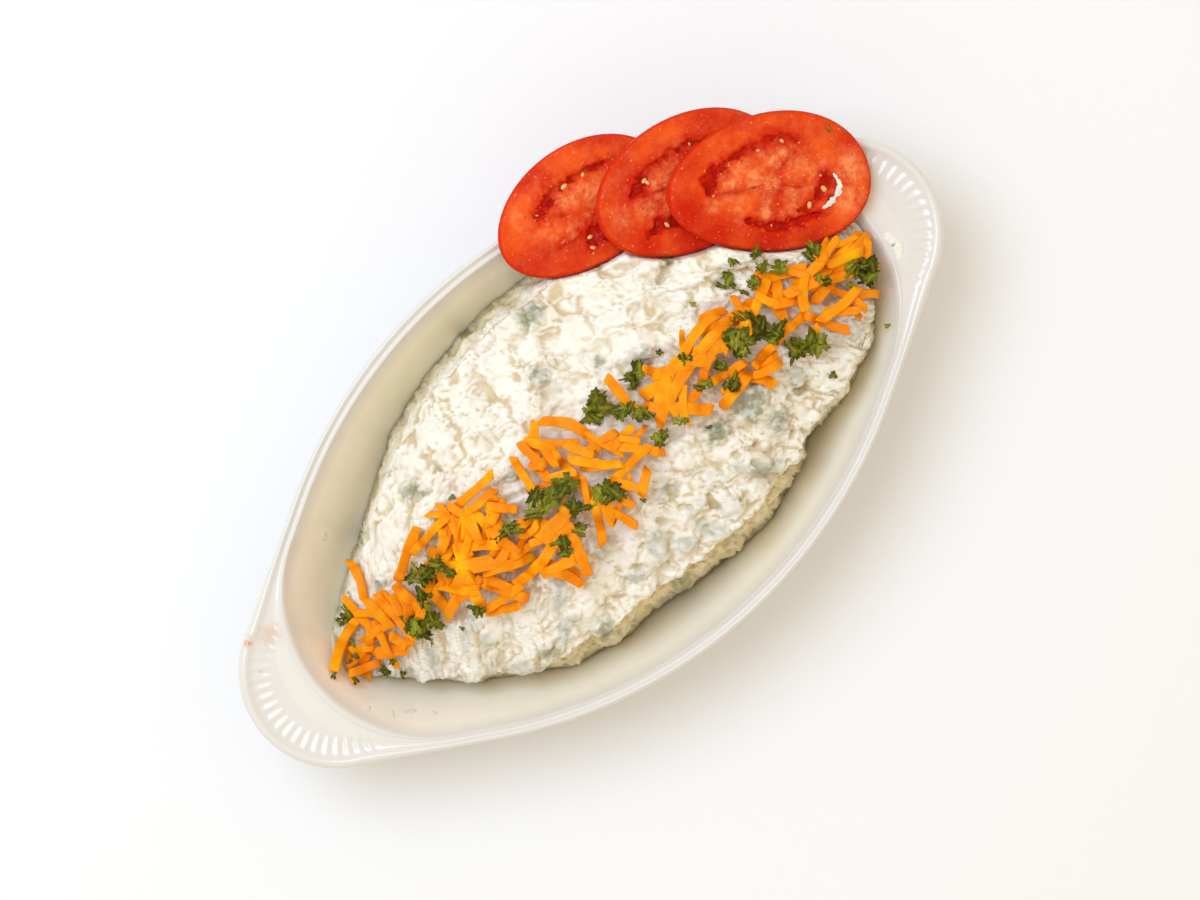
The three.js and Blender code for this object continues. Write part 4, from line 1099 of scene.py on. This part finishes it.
# Each clump: its middle in plan and its size.
PARSLEY = [
    (-86, 10, 5), (-57, 6, 10), (-53, 1, 4), (-63, -1, 5), (-69, -6, 8), (-87, -9, 3), (-53, -13, 4),
    (-31, -1.5, 6), (-20.5, -1, 8), (-23, -15, 5), (-13, -2, 6), (-13, -10, 5), (-16, -14, 4),
    (-3, -11, 7), (10, 8, 9), (15, 3, 5), (17.5, -2, 5), (24, 8, 7), (18, -10, 4), (25, -10, 4),
    (38, 3, 3), (36, -6.5, 4), (43, -6, 4), (43, -11, 4), (54, -2, 12), (60, -7, 6), (61, 11, 6),
    (64, 6, 5), (63, -14, 7), (66, 15, 3), (71, 8, 4), (75, 5, 4), (81, -6, 4), (84, 2, 5),
    (91, -11, 9), (67, -18, 7), (72, 13, 3),
    (-98, -1, 1.6), (-93, 0, 1.4), (-90, -1, 1.2), (-89, 2, 1.8), (-95, -5.5, 1.3), (-84, -13, 2),
    (-70, -11, 1.6), (-83, -9, 1.8), (105, -11.5, 1.6), (88, -27, 1.8), (66, -27.5, 1.6),
    (111, 25.5, 1.4), (33, 9, 1.6), (3, -20, 1.5), (49, 13, 1.5), (-38, 16, 1.4), (30, -16, 1.6),
    (-60, -14, 1.4),
]
LEAF_COLOUR = (0.042, 0.050, 0.002, 1)
LEAF_LIGHT = (0.34, 0.34, 0.03, 1)
LEAF_RINGS, LEAF_STEPS = 4, 26
LEAF_THICKNESS, LEAF_LIFT = 0.2, 0.1
# A leaf counts for what lies over it only up to this height over its foot.
LEAF_HEAP = 0.3


def leaflet(x, y, size):
    """One torn leaflet, laid on the pile: a thin closed leaf with lobes and teeth, folded and curled."""
    angle = np.linspace(0, 2 * math.pi, LEAF_STEPS, endpoint=False)[None, :]
    share = np.linspace(0.08, 1, LEAF_RINGS)[:, None]
    lobes = 0.42 + 0.58 * np.abs(np.cos((1.5 if random(0, 1) < 0.6 else 2.5) * angle)) ** 0.8
    teeth = 0.11 * np.cos(LEAF_STEPS / 2 * angle) + 0.12 * np.cos(4 * angle + random(0, 6))
    reach = size * 0.62 * share * blend(0.75, lobes + teeth, share)
    u, v = reach * np.cos(angle), reach * np.sin(angle) * random(0.25, 0.85)
    curl, fold, phase = random(-0.3, 0.3), random(-0.75, 0.55), random(0, 6)
    lift = curl * u * u / size * 2 + fold * np.abs(v) + 0.12 * size * share**2 * np.sin(3 * angle + phase)
    turn, tilt = random(0, 2 * math.pi), random(-0.35, 0.35)
    px = x + u * math.cos(turn) - v * math.sin(turn)
    py = y + u * math.sin(turn) + v * math.cos(turn)
    lift = lift + tilt * u
    base = np.percentile(pile_height(px, py) - lift, 70) + LEAF_LIFT
    top = np.stack([px, py, base + lift + LEAF_THICKNESS / 2], -1)
    lay(np.minimum(top, (px.max(), py.max(), base + LEAF_HEAP)))
    rib = np.exp(-((v / 0.28) ** 2)) * unit(1.3 - share)
    return np.concatenate([top - (0, 0, LEAF_THICKNESS), top[::-1]]), np.concatenate([rib * 0, rib[::-1]])


def parsley_finish():
    material, place = new_finish("parsley_leaf")
    veins = place.spots(1500, 2).ramp(0.5, 0.68) * 0.22 + place.mark("rib") * 0.35
    place.feed(
        Base_Color=(place.mark("tone") * 0.6 + veins).colour(LEAF_COLOUR, LEAF_LIGHT),
        Roughness=0.55 + 0.2 * place.spots(500),
        Specular_IOR_Level=0.1,
        Normal=place.spots(1600, 3).bump(0.5, 0.0004),
    )
    return material


leaves, tones, ribs = [], [], []
for clump_x, clump_y, clump_size in PARSLEY:
    fewest = 1 if clump_size < 2.5 else 3
    for _ in range(max(fewest, round((clump_size / 1.9) ** 1.7))):
        away, heading = (clump_size / 2) * math.sqrt(random(0, 1)), random(0, 2 * math.pi)
        x = clump_x + away * math.cos(heading)
        y = clump_y + away * math.sin(heading) * 0.85
        points, rib = leaflet(x, y, random(1.6, min(6.2, clump_size * 0.8 + 1.2)))
        leaves.append(points)
        ribs.append(rib)
        tones.append(random(0, 1) ** 2)
parsley_piece = make_piece(
    "chopped_parsley", "carrot_and_parsley", pressed(leaves), parsley_finish(), tone=tones, rib=ribs)
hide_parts("garnish")


# ---- The loose dabs ----
# Dabs and crumbs of dressing that fell beside the mound: a smear on the right tab, a crescent on
# the top tomato slice, and crumbs that slid down the wall at the left end.

# Each dab: a line of places, its half width and its height. The crescent's is in its slice's plan.
TAB_SMEAR = ([(101.5, -5.5), (104, -7.5), (105.5, -11), (104, -14), (100.5, -16.5)], 1.5, 0.7)
CRESCENT = ([(17.4, 0.9), (19.4, -2.6), (18.6, -5.3), (15.6, -8), (12.6, -9.4)], 0.95, 0.8)
WALL_CRUMBS = [
    ([(-90, -22), (-87, -24)], 0.6, 0.5), ([(-92, -19), (-93, -21.5)], 0.4, 0.4),
    ([(-84, -27), (-83, -28.5)], 0.5, 0.4), ([(-96, -14), (-97.5, -15)], 0.5, 0.4),
    ([(-76, 31), (-73.5, 32.5)], 0.6, 0.5), ([(101, 3), (102.5, 4)], 0.7, 0.5),
]
DAB_STEPS, DAB_SIDES = 40, 18


def dab(line, half, height, level):
    """A low ragged blob along a line, on the surface whose height level(x, y) gives."""
    share = np.linspace(0, 1, DAB_STEPS)
    knots = np.array(line, float)
    places = np.linspace(0, 1, len(knots))
    x, y = np.interp(share, places, knots[:, 0]), np.interp(share, places, knots[:, 1])
    x, y = (np.convolve(np.pad(v, 4, mode="edge"), np.ones(9) / 9, mode="valid") for v in (x, y))
    heading = np.arctan2(np.gradient(y), np.gradient(x))[:, None]
    angle = np.linspace(0, 2 * math.pi, DAB_SIDES, endpoint=False)[None, :]
    uneven = 1 + 0.5 * noise(share * 9, x, 1, 97)
    wide = half * np.sqrt(np.clip(1 - (2 * share - 1) ** 2, 0.02, 1)) * uneven
    across, up = wide[:, None] * np.cos(angle), np.sin(angle)
    px, py = x[:, None] - np.sin(heading) * across, y[:, None] + np.cos(heading) * across
    rise = np.where(up > 0, up * height * (0.7 + 0.5 * noise(px, py, 0.9, 98)), up * 0.2)
    return np.stack([px, py, level(px, py) + rise * (wide / half)[:, None]], -1)


def slice_level(x, y):
    return SLICE_THICKNESS / 2 + 0.1


dabs = [dab(*line, dish_level) for line in (TAB_SMEAR, *WALL_CRUMBS)]
middle, half, heading, fall, lean, bulge = SLICES[-1]
dabs.append(np.array(middle) + dab(*CRESCENT, slice_level) @ slice_axes(heading, fall, lean))
make_piece("dabs_of_dressing", "creamy_dip", dabs, mound_piece.data.materials[0])


# ---- The table, light and camera ----
# A plain pale table, a large soft light from the far left side as in the photograph, a weak fill,
# and a camera straight above with the dish turned as it is there.

PHOTO_TURN = math.radians(40.55)
PHOTO_CENTRE = (2.4 * MM, -1.1 * MM)
PHOTO_PIXELS, PIXELS_PER_MM = 1200, 3.5
PHOTO_WIDTH = PHOTO_PIXELS / PIXELS_PER_MM * MM
CAMERA_DISTANCE, SENSOR_WIDTH = 0.9, 36
TABLE_REACH = 3
TABLE_COLOUR, TABLE_LIGHT = (0.82, 0.84, 0.87, 1), (0.84, 0.86, 0.89, 1)
SKYLIGHT, WARM_FILL = (0.58, 0.75, 1.0), (1.0, 0.87, 0.68, 1)

corners = [(TABLE_REACH * x, TABLE_REACH * y, 0) for x, y in ((-1, -1), (1, -1), (1, 1), (-1, 1))]
floor_mesh = bpy.data.meshes.new("table")
floor_mesh.from_pydata(corners, [], [(0, 1, 2, 3)])
table = bpy.data.objects.new("table", floor_mesh)
bpy.context.scene.collection.objects.link(table)
table_finish, place = new_finish("pale_table")
place.feed(Base_Color=place.spots(3, 2).colour(TABLE_COLOUR, TABLE_LIGHT), Roughness=0.8)
floor_mesh.materials.append(table_finish)


def soft_light(name, place, size, power, colour):
    light = bpy.data.lights.new(name, "AREA")
    light.shape = "DISK"
    light.size = size
    light.energy = power
    light.color = colour
    lamp = bpy.data.objects.new(name, light)
    lamp.location = place
    aim = -lamp.location
    lamp.rotation_euler = aim.to_track_quat("-Z", "Y").to_euler()
    bpy.context.scene.collection.objects.link(lamp)


soft_light("window", (-0.2, 0.52, 1.06), 0.8, 8.5, SKYLIGHT)
world = bpy.data.worlds.new("studio")
bpy.context.scene.world = world
world.use_nodes = True
background = world.node_tree.nodes["Background"]
background.inputs["Color"].default_value = WARM_FILL
background.inputs["Strength"].default_value = 0.93

camera_data = bpy.data.cameras.new("photo_camera")
camera_data.sensor_width = SENSOR_WIDTH
camera_data.lens = SENSOR_WIDTH * CAMERA_DISTANCE / PHOTO_WIDTH
camera = bpy.data.objects.new("photo_camera", camera_data)
camera.location = (*PHOTO_CENTRE, RIM_HEIGHT * MM + CAMERA_DISTANCE)
camera.rotation_euler = (0, 0, -PHOTO_TURN)
bpy.context.scene.collection.objects.link(camera)
bpy.context.scene.camera = camera
bpy.context.scene.view_settings.view_transform = "Standard"
